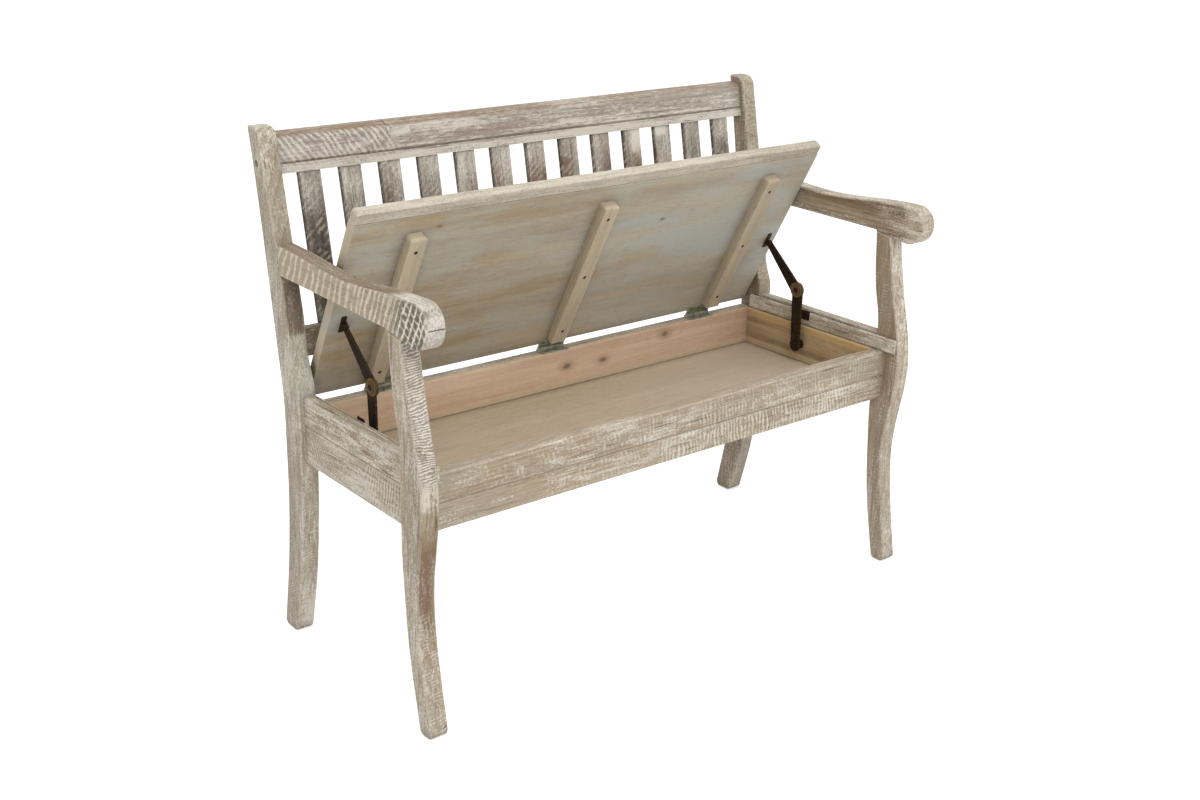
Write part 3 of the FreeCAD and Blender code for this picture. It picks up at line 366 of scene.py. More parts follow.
def saw_cut(pitch, slant, share, where=None, breaks=0.4, width=0.5, code=LIME_TONE, ground=0.0,
            ground_code=SAWN_TONE):
    """Ridges left by the saw, and the tone of the wood between them."""
    return {"pitch": pitch, "slant": slant, "share": share, "where": where or box_zone(), "breaks": breaks,
            "width": width, "tone": code, "ground": ground, "ground_tone": ground_code}


# What a board is like unless its own function says otherwise. Tones of late
# wood, early wood and weathered clouds come first, then shares of the figure, the lime,
# edges paled by wear and a painted highlight, the plane's relief, and painted shade where pieces meet.
BOARD = {
    "dark": "75654f", "light": "b7a78e", "grey": "a09788", "lime": LIME_TONE,
    "rings": 0.35, "ring_width": 0.008, "pith": 0.06, "fibres": 0.4, "clouds": 0.55, "cracks": 0.8,
    "cover": 0.45, "patch": 12.0, "lime_share": 0.78, "softness": 0.12, "streak": 1.0,
    "rub": 0.5, "relief": 0.55, "grime": 0.6, "grime_reach": 0.02}
PLANED = {"lime_share": 0.3, "cracks": 0.15, "rub": 0.25, "relief": 0.2, "softness": 0.3, "grime": 0.5}


def inside(tree, at, where):
    """1 in a zone of the board and 0 outside it."""
    return put_group(tree, ZONE, {"Place": at["Object"], "Normal": at["Normal"], **where})["Inside"]


def bare_wood(tree, figure, look):
    """The colour of the bare board, its shade, and the cracks that lime misses."""
    ringed = reckon(tree, "MULTIPLY", figure["Rings"], look["rings"])
    shade = reckon(tree, "MULTIPLY_ADD", figure["Fibres"], look["fibres"], ringed)
    banded = 1 - look["rings"] - look["fibres"]
    shade = reckon(tree, "MULTIPLY_ADD", figure["Bands"], banded, shade, clamp=True)
    colour = mixed(tree, shade, tone(look["light"]), tone(look["dark"]))
    clouded = reckon(tree, "MULTIPLY", figure["Clouds"], look["clouds"])
    colour = mixed(tree, clouded, colour, tone(look["grey"]))
    colour = mixed(tree, reckon(tree, "MULTIPLY", figure["Pores"], 0.5), colour, tone(PORE_TONE))
    bare = reckon(tree, "MULTIPLY", figure["Cracks"], look["cracks"])
    colour = mixed(tree, bare, colour, tone(CRACK_TONE))
    return colour, shade, bare


def with_stains_and_painted_light(tree, at, bands, stains_and_painted_light, colour, bare):
    """Lays each stain, and each zone of painted shade and painted light, over the wood, and marks where it
    keeps lime off.
    """
    for mark in stains_and_painted_light:
        where = inside(tree, at, mark["where"])
        cloudy = reckon(tree, "MULTIPLY_ADD", bands, 1.1 - mark["even"], mark["even"], clamp=True)
        share = reckon(tree, "MULTIPLY", reckon(tree, "MULTIPLY", where, cloudy), mark["share"])
        colour = mixed(tree, share, colour, tone(mark["tone"]))
        bare = reckon(tree, "MAXIMUM", bare, reckon(tree, "MULTIPLY", share, mark["bare"]))
    return colour, bare


def with_knots(tree, at, knots, colour):
    """Sets each knot and its halo into the wood."""
    for centre, size in knots:
        knot = put_group(tree, KNOT, {"Place": at["Object"], "Centre": centre, "Size": size})
        colour = mixed(tree, reckon(tree, "MULTIPLY", knot["Halo"], 0.4), colour, tone(KNOT_HALO_TONE))
        colour = mixed(tree, reckon(tree, "MULTIPLY", knot["Knot"], 0.55), colour, tone(KNOT_TONE))
    return colour


def lime_on(tree, at, place, limes, bare, look):
    """How much lime lies on the board, with its own patches."""
    brushed = reckon_vector(tree, "MULTIPLY", place, (1 / look["streak"], 1, 1))
    wash = put_group(tree, LIME, {"Place": brushed, "Cover": look["cover"], "Patch": look["patch"],
                                  "Softness": look["softness"]})["Lime"]
    washed = reckon(tree, "MULTIPLY", wash, look["lime_share"])
    for more in limes:
        extra = put_group(tree, LIME, {"Place": place, "Cover": more["cover"], "Patch": more["patch"],
                                       "Softness": more["softness"]})["Lime"]
        extra = reckon(tree, "MULTIPLY", extra, inside(tree, at, more["where"]))
        washed = reckon(tree, "MAXIMUM", washed, reckon(tree, "MULTIPLY", extra, more["share"]))
    return reckon(tree, "MULTIPLY", washed, reckon(tree, "SUBTRACT", 1, bare))


def with_saw_cuts(tree, at, place, saws, colour, height):
    """Lays the saw's ridges over the lime, in colour and in height."""
    ridge_rise = 0.9
    for cut in saws:
        ridges = put_group(tree, SAWN, {"Place": place, "Pitch": cut["pitch"], "Slant": cut["slant"],
                                        "Breaks": cut["breaks"], "Width": cut["width"]})["Ridges"]
        where = inside(tree, at, cut["where"])
        ground = reckon(tree, "MULTIPLY", where, cut["ground"])
        colour = mixed(tree, ground, colour, tone(cut["ground_tone"]))
        ridges = reckon(tree, "MULTIPLY", ridges, where)
        colour = mixed(tree, reckon(tree, "MULTIPLY", ridges, cut["share"]), colour, tone(cut["tone"]))
        height = reckon(tree, "MULTIPLY_ADD", ridges, ridge_rise, height)
    return colour, height


def limed_wood(name, grain, shift, saws=(), stains_and_painted_light=(), limes=(), knots=(), **own):
    """Bare wood under worn lime, with this board's own marks, stains and painted light, edges paled by wear
    and a painted highlight, and painted shade where pieces meet.
    """
    look = {**BOARD, **own}
    material, tree, shader = new_material(name)
    at = add(tree, "ShaderNodeTexCoord").outputs
    place = add(tree, "ShaderNodeMapping",
                {"Vector": at["Object"], "Rotation": grain, "Location": shift}).outputs[0]
    figure = put_group(tree, FIGURE, {
        "Place": place, "Ring Width": look["ring_width"], "Pith Depth": look["pith"]})
    colour, shade, bare = bare_wood(tree, figure, look)
    colour, bare = with_stains_and_painted_light(tree, at, figure["Bands"], stains_and_painted_light, colour, bare)
    colour = with_knots(tree, at, knots, colour)
    washed = lime_on(tree, at, place, limes, bare, look)
    colour = mixed(tree, washed, colour, tone(look["lime"]))
    lime_rise, shade_rise = 0.35, -0.5
    height = reckon(tree, "MULTIPLY_ADD", washed, lime_rise, reckon(tree, "MULTIPLY", shade, shade_rise))
    colour, height = with_saw_cuts(tree, at, place, saws, colour, height)
    # Edges paled by wear and a painted highlight
    rubbed = put_group(tree, EDGE_WEAR_AND_HIGHLIGHT, {"Place": place})["Wear And Highlight"]
    colour = mixed(tree, reckon(tree, "MULTIPLY", rubbed, look["rub"]), colour, tone(EDGE_WEAR_AND_HIGHLIGHT_TONE))
    # Painted shade where pieces meet
    painted_shading = put_group(tree, CORNER_SHADE, {"Place": place, "Reach": look["grime_reach"]})["Painted Shade"]
    colour = mixed(tree, reckon(tree, "MULTIPLY", painted_shading, look["grime"]), colour, tone(PAINTED_SHADE_TONE))
    tree.links.new(colour, shader.inputs["Base Color"])
    bare_roughness, lime_roughness, shade_roughness = 0.78, 0.1, -0.15
    roughness = reckon(tree, "MULTIPLY_ADD", washed, lime_roughness, bare_roughness)
    roughness = reckon(tree, "MULTIPLY_ADD", shade, shade_roughness, roughness)
    tree.links.new(roughness, shader.inputs["Roughness"])
    shader.inputs["Specular IOR Level"].default_value = 0.25
    relief_depth = 0.0008
    bump = add(tree, "ShaderNodeBump", {
        "Height": height, "Strength": look["relief"], "Distance": relief_depth})
    tree.links.new(bump.outputs[0], shader.inputs["Normal"])
    return material


def worn_metal(name, base, mottle, bright, metallic, roughness, spots="6b5a44", rings=(), gloss=0.5):
    """Painted or plated steel with mottling, scratches and spots, and a painted highlight in rings and along
    the edges.
    """
    material, tree, shader = new_material(name)
    place = add(tree, "ShaderNodeTexCoord").outputs["Object"]
    wear = put_group(tree, METAL, {"Place": place})
    colour = mixed(tree, wear["Mottle"], tone(base), tone(mottle))
    colour = mixed(tree, reckon(tree, "MULTIPLY", wear["Scratches"], 0.4), colour, tone(bright))
    colour = mixed(tree, reckon(tree, "MULTIPLY", wear["Spots"], 0.5), colour, tone(spots))
    # Painted highlight in rings about rivets
    for centre, radius in rings:
        ring = put_group(tree, RIVET_HIGHLIGHT, {"Place": place, "Centre": centre, "Radius": radius})["Ring"]
        colour = mixed(tree, reckon(tree, "MULTIPLY", ring, 0.8), colour, tone(bright))
    # Painted highlight along the edges
    rubbed = put_group(tree, EDGE_WEAR_AND_HIGHLIGHT, {"Place": place, "Reach": 0.0012})["Wear And Highlight"]
    colour = mixed(tree, reckon(tree, "MULTIPLY", rubbed, 0.6), colour, tone(bright))
    tree.links.new(colour, shader.inputs["Base Color"])
    shader.inputs["Metallic"].default_value = metallic
    shader.inputs["Specular IOR Level"].default_value = gloss
    roughened = reckon(tree, "MULTIPLY_ADD", wear["Mottle"], 0.2, roughness)
    tree.links.new(roughened, shader.inputs["Roughness"])
    height = reckon(tree, "SUBTRACT", wear["Mottle"], wear["Spots"])
    bump = add(tree, "ShaderNodeBump", {"Height": height, "Strength": 0.3, "Distance": 0.0003})
    tree.links.new(bump.outputs[0], shader.inputs["Normal"])
    return material


def dress(material, *nodes):
    """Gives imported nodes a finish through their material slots."""
    for node in nodes:
        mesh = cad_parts[node].data
        if not mesh.materials:
            mesh.materials.append(material)
        for slot in range(len(mesh.materials)):
            mesh.materials[slot] = material


# Front legs and back posts
def front_leg_left_wood():
    """Fine saw ridges above the box, bare brown wood under it."""
    above_box = box_zone(FRONT, z=(0.425, 0.66), soft=0.02)
    knee = box_zone(FRONT, z=(0.39, 0.44), soft=0.02, ragged=0.03)
    below_box = box_zone(FRONT, z=(0.12, 0.35), soft=0.04, ragged=0.08)
    darkest = box_zone(FRONT, z=(0.17, 0.33), soft=0.03, ragged=0.09)
    foot = box_zone(FRONT, z=(0.0, 0.2), soft=0.05)
    outside = box_zone(LEFT)
    return limed_wood(
        "front_leg_left_wood", GRAIN_UPRIGHT, (0.3, 0.1, 0.2), cover=0.5, patch=16,
        saws=[saw_cut(0.0045, 0.05, 0.85, above_box, breaks=0.15, ground=0.6, ground_code="766b60"),
              saw_cut(0.006, 0.1, 0.5, foot, breaks=0.5),
              saw_cut(0.007, 0.6, 0.2, outside, breaks=0.6)],
        limes=[lime_patch(0.7, 0.7, knee),
               lime_patch(0.4, 0.6, outside, patch=50)],
        stains_and_painted_light=[stain_and_painted_light("896f56", 0.85, below_box, even=0.1),
                stain_and_painted_light("5c4838", 0.4, darkest, even=0, bare=0.1)])


def front_leg_right_wood():
    """Pale in front, and brown with painted shade on the side that looks at the box."""
    above_knee = box_zone(FRONT, z=(0.3, 0.8), soft=0.1)
    return limed_wood(
        "front_leg_right_wood", GRAIN_UPRIGHT, (1.3, 0.4, 0.7), light="bdae98", cover=0.45, patch=12,
        # The side that looks at the box is darkened: painted shade
        stains_and_painted_light=[stain_and_painted_light("7c664e", 0.6, box_zone(LEFT))],
        limes=[lime_patch(0.55, 0.75, above_knee)],
        saws=[saw_cut(0.007, 0.1, 0.3, breaks=0.6)])


def back_post_left_wood():
    """A dark stain under the arm, and greenish grey where the lid stands, with painted light on the front
    face there.
    """
    under_arm = box_zone(FRONT, z=(0.56, 0.645), soft=0.006, ragged=0.004)
    by_lid = box_zone(FRONT, z=(0.44, 0.56), soft=0.02, ragged=0.01)
    lower_half = box_zone(FRONT, z=(0.0, 0.34))
    foot = box_zone(FRONT, z=(-0.1, 0.12), soft=0.08, ragged=0.03)
    return limed_wood(
        "back_post_left_wood", GRAIN_UPRIGHT, (0.7, 0.9, 0.1), light="b9ae9b", cover=0.48, patch=18,
        saws=[saw_cut(0.006, 0.7, 0.35, box_zone(LEFT), breaks=0.5),
              saw_cut(0.0045, 0.05, 0.4, lower_half, breaks=0.4)],
        limes=[lime_patch(0.65, 0.7, foot)],
        stains_and_painted_light=[stain_and_painted_light("54402e", 0.95, under_arm, bare=0.9),
                # Greenish grey beside the lid, which also paints the light on the front face
                stain_and_painted_light("a3a698", 0.6, by_lid)])


def back_post_right_wood():
    """Brown with painted shade on the side that looks at the box."""
    return limed_wood(
        "back_post_right_wood", GRAIN_UPRIGHT, (1.7, 0.2, 0.5), light="b8ac98", cover=0.45, patch=12,
        # The side that looks at the box is darkened: painted shade
        stains_and_painted_light=[stain_and_painted_light("6a533d", 0.6, box_zone(LEFT))],
        saws=[saw_cut(0.008, 0.1, 0.3, breaks=0.55)])


dress(front_leg_left_wood(), "front_leg_left")
dress(front_leg_right_wood(), "front_leg_right")
dress(back_post_left_wood(), "back_post_left")
dress(back_post_right_wood(), "back_post_right")


# Arms
def arm_left_wood():
    """Wide saw ridges that close up towards the knuckle, where two sets cross."""
    ridge_code, bright_ridge_code = "e3dac6", "e6e0d2"
    rear = box_zone(LEFT, y=(-0.08, 0.2), soft=0.03)
    middle = box_zone(LEFT, y=(-0.2, -0.06), soft=0.03)
    knuckle = box_zone(LEFT, y=(-0.27, -0.17), soft=0.06, ragged=0.03)
    crossing = box_zone(LEFT, y=(-0.27, -0.19), soft=0.02)
    upper_face = box_zone(TOP, y=(-0.17, 0.2), soft=0.04, ragged=0.02)
    across = (ARM_OUTSIDE + 0.0015, ARM_INSIDE + 0.0005)
    round_end = box_zone(x=across, y=(-0.3, -0.17), soft=0.003)
    dark_line = box_zone(x=across, y=(-0.3, -0.2), z=(0.694, 0.702), soft=0.006, ragged=0.006)
    split = box_zone(x=across, y=(-0.3, -0.2), z=(0.6745, 0.6765), soft=0.002, ragged=0.003)
    limed_end = box_zone(x=across, y=(-0.3, -0.15), soft=0.02)
    return limed_wood(
        "arm_left_wood", GRAIN_ALONG_Y, (0.2, 0.3, 0.6), cover=0.42, patch=10, rings=0.45,
        saws=[saw_cut(0.018, 0.43, 0.7, rear, breaks=0.15, width=0.35, code=ridge_code, ground=0.4,
                      ground_code="bbac92"),
              saw_cut(0.0125, 0.43, 0.8, middle, breaks=0.15, width=0.35, code=ridge_code, ground=0.4,
                      ground_code="ae9f86"),
              saw_cut(0.0135, 0.5, 1, knuckle, breaks=0.1, width=0.3, code=bright_ridge_code, ground=0.85,
                      ground_code="625b4c"),
              saw_cut(0.019, -1.1, 0.9, crossing, breaks=0.35, width=0.25, code=bright_ridge_code)],
        stains_and_painted_light=[stain_and_painted_light("5a4938", 1, upper_face, even=0.45, bare=0.65),
                stain_and_painted_light("aca7a1", 0.8, round_end, even=0.5, bare=0.2),
                stain_and_painted_light("55493d", 0.8, dark_line, even=0.3, bare=0.8),
                stain_and_painted_light("35291f", 0.95, split, even=1, bare=1)],
        limes=[lime_patch(0.55, 0.75, limed_end, patch=30)])


def arm_right_wood():
    """Brown on its inner side, with lime on top, below and at the end."""
    inner_side = box_zone(LEFT, y=(-0.22, 0.4), z=(0.64, 0.8), soft=0.02, ragged=0.03)
    underside = box_zone(z=(0.6, 0.655), soft=0.02, ragged=0.03)
    round_end = box_zone(y=(-0.27, -0.235), soft=0.01, ragged=0.02)
    return limed_wood(
        "arm_right_wood", GRAIN_ALONG_Y, (1.2, 0.7, 0.9), cover=0.45, patch=14, rings=0.5,
        stains_and_painted_light=[stain_and_painted_light("6d553e", 0.8, inner_side, even=0.2, bare=0.3)],
        limes=[lime_patch(0.6, 0.8, box_zone(TOP)),
               lime_patch(0.7, 0.85, underside),
               lime_patch(0.35, 0.7, round_end)])


dress(arm_left_wood(), "arm_left")
dress(arm_right_wood(), "arm_right")


# Back rest
def crest_rail_wood():
    """Crossed saw ridges at the left end, long streaks, a check and two chips."""
    above_bead = (0.826, 0.9)
    sawn_end = box_zone(FRONT, x=(-0.53, -0.3), z=above_bead, soft=0.05)
    crossing = box_zone(FRONT, x=(-0.5, -0.3), z=above_bead, soft=0.05)
    reddish = box_zone(FRONT, x=(-0.28, 0.45), z=(0.826, 0.86), soft=0.03, ragged=0.05)
    check = box_zone(x=(-0.3115, -0.3085), z=(0.852, 0.88), soft=0.002, ragged=0.003)
    bead = box_zone(FRONT, z=(0.7, 0.822), soft=0.004, ragged=0.003)
    upper_chip = box_zone(FRONT, x=(-0.302, -0.265), z=(0.852, 0.861), soft=0.003, ragged=0.014)
    lower_chip = box_zone(FRONT, x=(-0.385, -0.345), z=(0.837, 0.846), soft=0.003, ragged=0.016)
    return limed_wood(
        "crest_rail_wood", GRAIN_ALONG_X, (0.4, 0.8, 0.3), dark="73685d", light="b3a89b", grey="9f9790",
        cover=0.52, patch=34, rings=0.4, streak=3,
        saws=[saw_cut(0.012, 0.6, 0.75, sawn_end, breaks=0.25, ground=0.5, ground_code="877d75"),
              saw_cut(0.019, -0.8, 0.6, crossing, breaks=0.55, width=0.3)],
        stains_and_painted_light=[stain_and_painted_light("7c6751", 0.9, box_zone(TOP), even=0.4, bare=0.75),
                stain_and_painted_light("8f7068", 0.3, reddish, even=0, bare=0.2),
                stain_and_painted_light("4a3d30", 0.9, check, bare=1)],
        limes=[lime_patch(0.75, 0.7, bead),
               lime_patch(1.6, 0.8, upper_chip, softness=0.3),
               lime_patch(1.3, 0.7, lower_chip, softness=0.3)])


def lower_rail_wood():
    """Darker than the rest, with less lime."""
    return limed_wood("lower_rail_wood", GRAIN_ALONG_X, (0.9, 0.1, 0.8), dark="5d4b3b", light="8f7f6c",
                      cover=0.4)


def slat_wood():
    """Dark towards the lid, darkest on the first slat, with two white spots of lime and painted shade on
    each slat's sides.
    """
    first_slat = (-0.49, -0.43)
    first_low = box_zone(x=first_slat, z=(0.5, 0.75), soft=0.07, ragged=0.04)
    first_high = box_zone(x=first_slat, z=(0.72, 0.85), soft=0.03, ragged=0.04)
    others_low = box_zone(x=(-0.42, 0.5), z=(0.5, 0.765), soft=0.05, ragged=0.07)
    rusty = box_zone(x=(-0.2, 0.3), z=(0.5, 0.78), soft=0.03, ragged=0.06)
    tenth_corner = box_zone(x=(0.228, 0.262), z=(0.772, 0.830), soft=0.015, ragged=0.025)
    eleventh_top = box_zone(x=(0.286, 0.318), z=(0.793, 0.820), soft=0.01, ragged=0.02)
    return limed_wood(
        "slat_wood", GRAIN_UP_THE_REST, (0.1, 0.6, 0.4), dark="6b6054", light="b7aea1", grey="a0988e",
        cover=0.48, patch=14, rings=0.25,
        stains_and_painted_light=[stain_and_painted_light("3a2e24", 1, first_low, even=0.85, bare=0.95),
                stain_and_painted_light("57483a", 0.8, others_low, even=0.3, bare=0.8),
                stain_and_painted_light("6a6156", 0.6, first_high, even=0.6),
                stain_and_painted_light("7b5231", 0.4, rusty, even=0.1),
                # Both sides of each slat are darkened: painted shade
                stain_and_painted_light("33291f", 0.9, box_zone(LEFT), even=0.9, bare=0.9),
                stain_and_painted_light("4a3e32", 0.8, box_zone(RIGHT), even=0.9, bare=0.8)],
        saws=[saw_cut(0.013, 0.8, 0.4, breaks=0.5)],
        limes=[lime_patch(1.6, 0.95, tenth_corner, softness=0.3),
               lime_patch(1.3, 0.9, eleventh_top, softness=0.3)])


dress(crest_rail_wood(), "crest_rail")
dress(lower_rail_wood(), "lower_back_rail")
dress(slat_wood(), *[f"back_slat_{number:02d}" for number in range(1, 14)])


# Box, outside
def front_upper_wood():
    """Short saw ridges and a mottled band of lime along the middle."""
    right_half = box_zone(FRONT, x=(-0.1, 0.45), z=(0.37, 0.418), soft=0.08, ragged=0.03)
    left_half = box_zone(FRONT, x=(-0.42, -0.05), z=(0.37, 0.415), soft=0.08, ragged=0.03)
    middle = box_zone(FRONT, x=(-0.35, 0.4), z=(0.37, 0.412), soft=0.04, ragged=0.07)
    return limed_wood(
        "front_upper_wood", GRAIN_ALONG_X, (0.6, 0.2, 0.9), dark="766149", cover=0.38, patch=14,
        saws=[saw_cut(0.0085, 0.15, 0.6, right_half, breaks=0.4),
              saw_cut(0.01, 0.25, 0.5, left_half, breaks=0.55)],
        limes=[lime_patch(0.44, 0.75, middle, patch=30)])


def front_lower_wood():
    """Upright saw ridges, clearest on the right half."""
    right_half = box_zone(FRONT, x=(-0.05, 0.45), soft=0.1)
    left_half = box_zone(FRONT, x=(-0.3, 0.05), soft=0.1)
    return limed_wood(
        "front_lower_wood", GRAIN_ALONG_X, (1.6, 0.5, 0.1), dark="766149", cover=0.42, patch=14,
        saws=[saw_cut(0.0085, 0.1, 0.7, right_half, breaks=0.3),
              saw_cut(0.009, 0.15, 0.4, left_half, breaks=0.5)])


def side_upper_wood():
    """Specked with lime on the outside."""
    return limed_wood(
        "side_upper_wood", GRAIN_ALONG_Y, (0.5, 0.7, 0.2), light="beae95", cover=0.5, patch=22, rings=0.3,
        limes=[lime_patch(0.55, 0.8, box_zone(LEFT), patch=70)])


def side_lower_wood():
    """Saw ridges near the front leg and, the other way, near the back."""
    near_leg = box_zone(LEFT, y=(-0.18, -0.06), soft=0.05)
    near_post = box_zone(LEFT, y=(0.06, 0.13), soft=0.03)
    return limed_wood(
        "side_lower_wood", GRAIN_ALONG_Y, (1.5, 0.3, 0.6), light="c3b298", cover=0.52, patch=12,
        saws=[saw_cut(0.008, 0.2, 0.6, near_leg, breaks=0.2),
              saw_cut(0.008, -0.4, 0.5, near_post, breaks=0.3)])


def back_apron_wood():
    """As the rest of the box, with no marks of its own."""
    return limed_wood("back_apron_wood", GRAIN_ALONG_X, (2.1, 0.4, 0.2), cover=0.5)


dress(front_upper_wood(), "front_apron_upper")
dress(front_lower_wood(), "front_apron_lower")
dress(side_upper_wood(), "side_apron_left_upper", "side_apron_right_upper")
dress(side_lower_wood(), "side_apron_left_lower", "side_apron_right_lower")
dress(back_apron_wood(), "back_apron")


# Box, inside, planed and hardly limed
def back_liner_wood():
    """Pinkish, with a paler strip along the floor and three knots."""
    strip = box_zone(z=(BOX_FLOOR - 0.002, BOX_FLOOR + 0.014), soft=0.002, ragged=0)
    pink = box_zone(z=(BOX_FLOOR + 0.014, BOX_FLOOR + 0.078), soft=0.02, ragged=0.04)
    knots = [((x, BACK_LINER_FACE, BOX_FLOOR + rise), size)
             for x, rise, size in ((0.031, 0.042, 0.0065), (0.1205, 0.037, 0.0055), (0.280, 0.06, 0.006))]
    return limed_wood(
        "back_liner_wood", GRAIN_ALONG_X, (2.6, 0.1, 0.4), dark="ad9278", light="d9c3a8", grey="c9ae94",
        cover=0.5, rings=0.15, fibres=0.2,
        stains_and_painted_light=[stain_and_painted_light("cbb799", 0.7, strip), stain_and_painted_light("b98d76", 0.3, pink, even=0.1)],
        knots=knots, **PLANED)


def side_liner_wood():
    """Three boards deep: pale, brown, and yellow at the top."""
    low = box_zone(z=(BOX_FLOOR - 0.012, BOX_FLOOR + 0.014), soft=0.002, ragged=0)
    middle = box_zone(z=(BOX_FLOOR + 0.018, BOX_FLOOR + 0.058), soft=0.01, ragged=0.02)
    high = box_zone(z=(BOX_FLOOR + 0.061, BOX_FLOOR + 0.088), soft=0.003, ragged=0.004)
    return limed_wood(
        "liner_wood", GRAIN_ALONG_Y, (3.1, 0.6, 0.8), dark="8a7354", light="c8af8a", grey="ab9370",
        cover=0.45, rings=0.2, fibres=0.2,
        stains_and_painted_light=[stain_and_painted_light("6f5a40", 0.75, middle, even=0),
                stain_and_painted_light("c6a671", 0.75, high),
                stain_and_painted_light("c6b08f", 0.7, low)],
        **PLANED)


def front_liner_wood():
    """The plain inner face of the front."""
    return limed_wood("front_liner_wood", GRAIN_ALONG_X, (3.6, 0.2, 0.3), cover=0.5, **PLANED)


def side_strip_wood():
    """The strips that fill the gaps beside the lid."""
    return limed_wood("side_strip_wood", GRAIN_ALONG_Y, (4.0, 0.5, 0.1), cover=0.6, patch=30)


def bottom_wood():
    """Wide figure, and paler towards the right end."""
    right_half = box_zone(x=(0.1, 0.6), soft=0.4)
    return limed_wood(
        "bottom_wood", GRAIN_ALONG_X, (4.4, 0.9, 0.6), dark="b09c85", light="cdbca5", grey="bdaa91",
        cover=0.5, rings=0.1, ring_width=0.03, stains_and_painted_light=[stain_and_painted_light("cdc2b2", 0.35, right_half)], **PLANED)


dress(back_liner_wood(), "back_liner")
dress(side_liner_wood(), "side_liner_left", "side_liner_right")
dress(front_liner_wood(), "front_liner")
dress(side_strip_wood(), "side_strip_left", "side_strip_right")
dress(bottom_wood(), "bottom_panel")


# Lid
def lid_wood():
    """Soft grey clouds over planed boards, browner to the left."""
    left_half = box_zone(x=(-0.5, 0.0), soft=0.2, ragged=0.1)
    right_half = box_zone(x=(0.05, 0.6), soft=0.4)
    return limed_wood(
        "lid_wood", GRAIN_ALONG_LID, (5.0, 0.3, 0.7), dark="988569", light="bbad92", grey="b3b4ac",
        clouds=0.85, lime="b4b9b7", cover=0.6, patch=5, rings=0.15, ring_width=0.02, fibres=0.15,
        stains_and_painted_light=[stain_and_painted_light("94805d", 0.35, left_half, even=0.1),
                stain_and_painted_light("b0b3af", 0.3, right_half, even=0.3),
                stain_and_painted_light("cbbd9f", 0.7, box_zone(LEFT))],
        knots=[((-0.348, 0.0131, 0.7437), 0.0025), ((0.160, 0.0451, 0.6811), 0.0025)],
        # The lid's painted shade where the battens meet it is stronger and reaches further
        lime_share=0.6, cracks=0.1, rub=0.25, relief=0.2, softness=0.3, grime=0.9, grime_reach=0.03)


def lipping_wood():
    """The pale strip along the lid's front edge."""
    return limed_wood(
        "lipping_wood", GRAIN_ALONG_X, (5.5, 0.8, 0.2), dark="9d917d", light="c0b5a4", cover=0.5,
        rings=0.2, lime_share=0.5, cracks=0.3, rub=0.4, relief=0.25)


def batten_wood():
    """Planed battens with the grain down the lid."""
    return limed_wood(
        "batten_wood", GRAIN_DOWN_LID, (6.0, 0.4, 0.5), dark="a3927c", light="ccbea4", grey="b7a992",
        cover=0.5, rings=0.1, fibres=0.3, **PLANED)


def plug_wood():
    """End grain of the dowels, with narrow rings."""
    return limed_wood("plug_wood", GRAIN_ALONG_X, (6.6, 0.1, 0.1), dark="5b4a38", light="7d6a54", cover=0.3,
                      ring_width=0.002)


dress(lid_wood(), "lid_panel")
dress(lipping_wood(), "lid_lipping")
dress(batten_wood(), "lid_batten_1", "lid_batten_2", "lid_batten_3")
dress(plug_wood(), "dowel_plugs")


# Metal
def stay_bronze():
    """Dark bronze, with two rings of painted highlight about the elbow's rivet."""
    return worn_metal("stay_bronze", "1f160e", "2e2115", "7d6342", metallic=0.1, roughness=0.6, gloss=0.15,
                      rings=[(ELBOW, ELBOW_RADIUS / 2), (ELBOW, ELBOW_RADIUS * 5 / 6)])


def hinge_zinc():
    """Dull zinc with brown spots."""
    return worn_metal("hinge_zinc", "a2a28e", "6a6753", "dfdfce", metallic=0.35, roughness=0.45)


def screw_steel():
    """Nearly black steel."""
    return worn_metal("screw_steel", "2b2621", "3a332b", "5d5347", metallic=0.7, roughness=0.5)


STAY_PIECES = ("stay_bracket", "stay_upper_arm", "stay_lower_arm", "stay_base")
dress(stay_bronze(), *[f"{piece}_{side}" for side in ("left", "right") for piece in STAY_PIECES],
      "stay_keepers")
dress(hinge_zinc(), *[f"hinge_{leaf}_leaf_{number}" for leaf in ("box", "lid") for number in (1, 2, 3)],
      "hinge_pins")
dress(screw_steel(), "batten_screws", "hinge_screws_box", "hinge_screws_lid")


# Floor and light
def seen_share(tree):
    """1 on the rays that show the background, 0 on those that light things."""
    rays = add(tree, "ShaderNodeLightPath").outputs
    seen = reckon(tree, "MAXIMUM", rays["Is Camera Ray"], rays["Is Glossy Ray"])
    return reckon(tree, "MAXIMUM", seen, rays["Is Transmission Ray"])


def floor_white():
    """A pale floor that is seen as white, and keeps the bench's shadow."""
    material, tree, shader = new_material("studio_floor_white")
    shader.inputs["Base Color"].default_value = (0.86, 0.86, 0.86, 1)
    shader.inputs["Roughness"].default_value = 0.9
    shader.inputs["Specular IOR Level"].default_value = 0
    shader.inputs["Emission Color"].default_value = (1, 1, 1, 1)
    glow = reckon(tree, "MULTIPLY", seen_share(tree), 0.5)
    tree.links.new(glow, shader.inputs["Emission Strength"])
    return material


def studio_floor():
    """A flat floor that reaches far past the view."""
    reach = 12
    corners = [(-reach, -reach, 0), (reach, -reach, 0), (reach, reach, 0), (-reach, reach, 0)]
    mesh = bpy.data.meshes.new("studio_floor")
    mesh.from_pydata(corners, [], [(0, 1, 2, 3)])
    mesh.materials.append(floor_white())
    floor = bpy.data.objects.new("studio_floor", mesh)
    scene.collection.objects.link(floor)


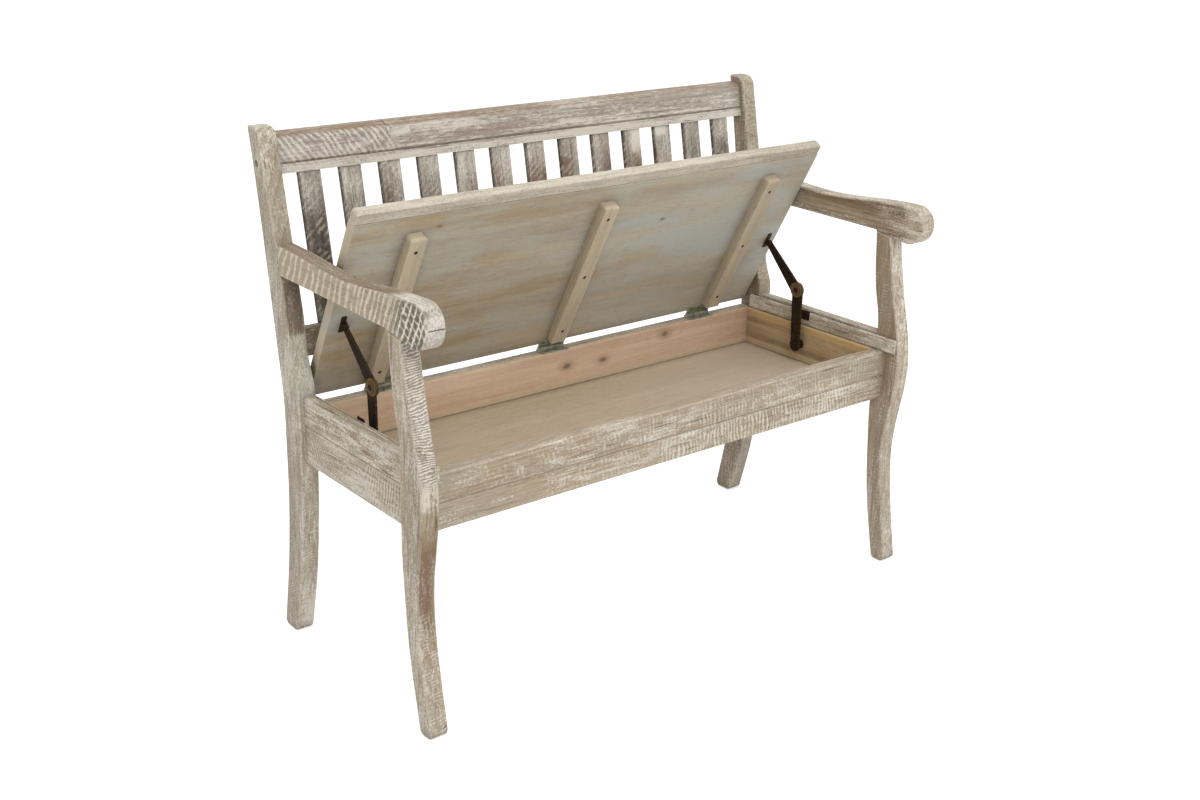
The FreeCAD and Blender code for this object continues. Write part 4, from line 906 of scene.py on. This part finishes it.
def studio_sky():
    """A white surround: full strength where it is seen, less where it lights."""
    world = bpy.data.worlds.new("studio_white")
    scene.world = world
    world.use_nodes = True
    tree = world.node_tree
    tree.nodes.clear()
    strength = reckon(tree, "MULTIPLY_ADD", seen_share(tree), 0.3, 0.7)
    background = add(tree, "ShaderNodeBackground", {"Color": (1, 1, 1, 1), "Strength": strength})
    output = add(tree, "ShaderNodeOutputWorld")
    tree.links.new(background.outputs[0], output.inputs["Surface"])


def soft_lamp(name, place, target, width, watts, tint):
    """A square lamp that looks at a target."""
    lamp = bpy.data.lights.new(name, "AREA")
    lamp.shape = "SQUARE"
    lamp.size = width
    lamp.energy = watts
    lamp.color = tint
    holder = bpy.data.objects.new(name, lamp)
    scene.collection.objects.link(holder)
    holder.location = place
    holder.rotation_euler = (Vector(target) - Vector(place)).to_track_quat("-Z", "Y").to_euler()


studio_floor()
studio_sky()
soft_lamp("window_light", (-1.6, -3.2, 3.4), target=(0, 0, 0.5), width=2.2, watts=85, tint=(1, 0.99, 0.975))
soft_lamp("side_light", (3.2, -1.5, 2.2), target=(0, 0, 0.4), width=2.0, watts=25, tint=(0.96, 0.98, 1))
soft_lamp("top_light", (-0.3, 0.2, 3.6), target=(0, 0, 0.4), width=2.0, watts=25, tint=(1, 1, 1))

# The camera stands in front of the bench's left end and looks down on it
IMAGE_WIDTH, IMAGE_HEIGHT = 1200, 800
FOCAL_PIXELS = 1453.8
OPTICAL_CENTRE = (522.9, 449.6)
FILM_WIDTH = 36
CAMERA_PLACE = (-1.6172, -1.8799, 1.3001)
TURN, TILT, ROLL = math.radians(-37.29), math.radians(22.44), math.radians(0.80)


def photo_camera():
    """The camera that sees the bench as the photograph does."""
    backwards = Vector((math.sin(TURN) * math.cos(TILT), -math.cos(TURN) * math.cos(TILT), math.sin(TILT)))
    level_right = (-backwards).cross(Vector((0, 0, 1))).normalized()
    level_up = level_right.cross(-backwards)
    right = math.cos(ROLL) * level_right + math.sin(ROLL) * level_up
    upwards = math.cos(ROLL) * level_up - math.sin(ROLL) * level_right
    turned = Matrix((right, upwards, backwards)).transposed().to_4x4()
    camera = bpy.data.objects.new("photo_camera", bpy.data.cameras.new("photo_camera"))
    scene.collection.objects.link(camera)
    camera.matrix_world = Matrix.Translation(CAMERA_PLACE) @ turned
    camera.data.sensor_fit = "HORIZONTAL"
    camera.data.sensor_width = FILM_WIDTH
    camera.data.lens = FILM_WIDTH * FOCAL_PIXELS / IMAGE_WIDTH
    camera.data.shift_x = (IMAGE_WIDTH / 2 - OPTICAL_CENTRE[0]) / IMAGE_WIDTH
    camera.data.shift_y = (OPTICAL_CENTRE[1] - IMAGE_HEIGHT / 2) / IMAGE_WIDTH
    camera.data.clip_start = 0.05
    camera.data.clip_end = 60
    return camera


scene.camera = photo_camera()
scene.view_settings.view_transform = "Standard"
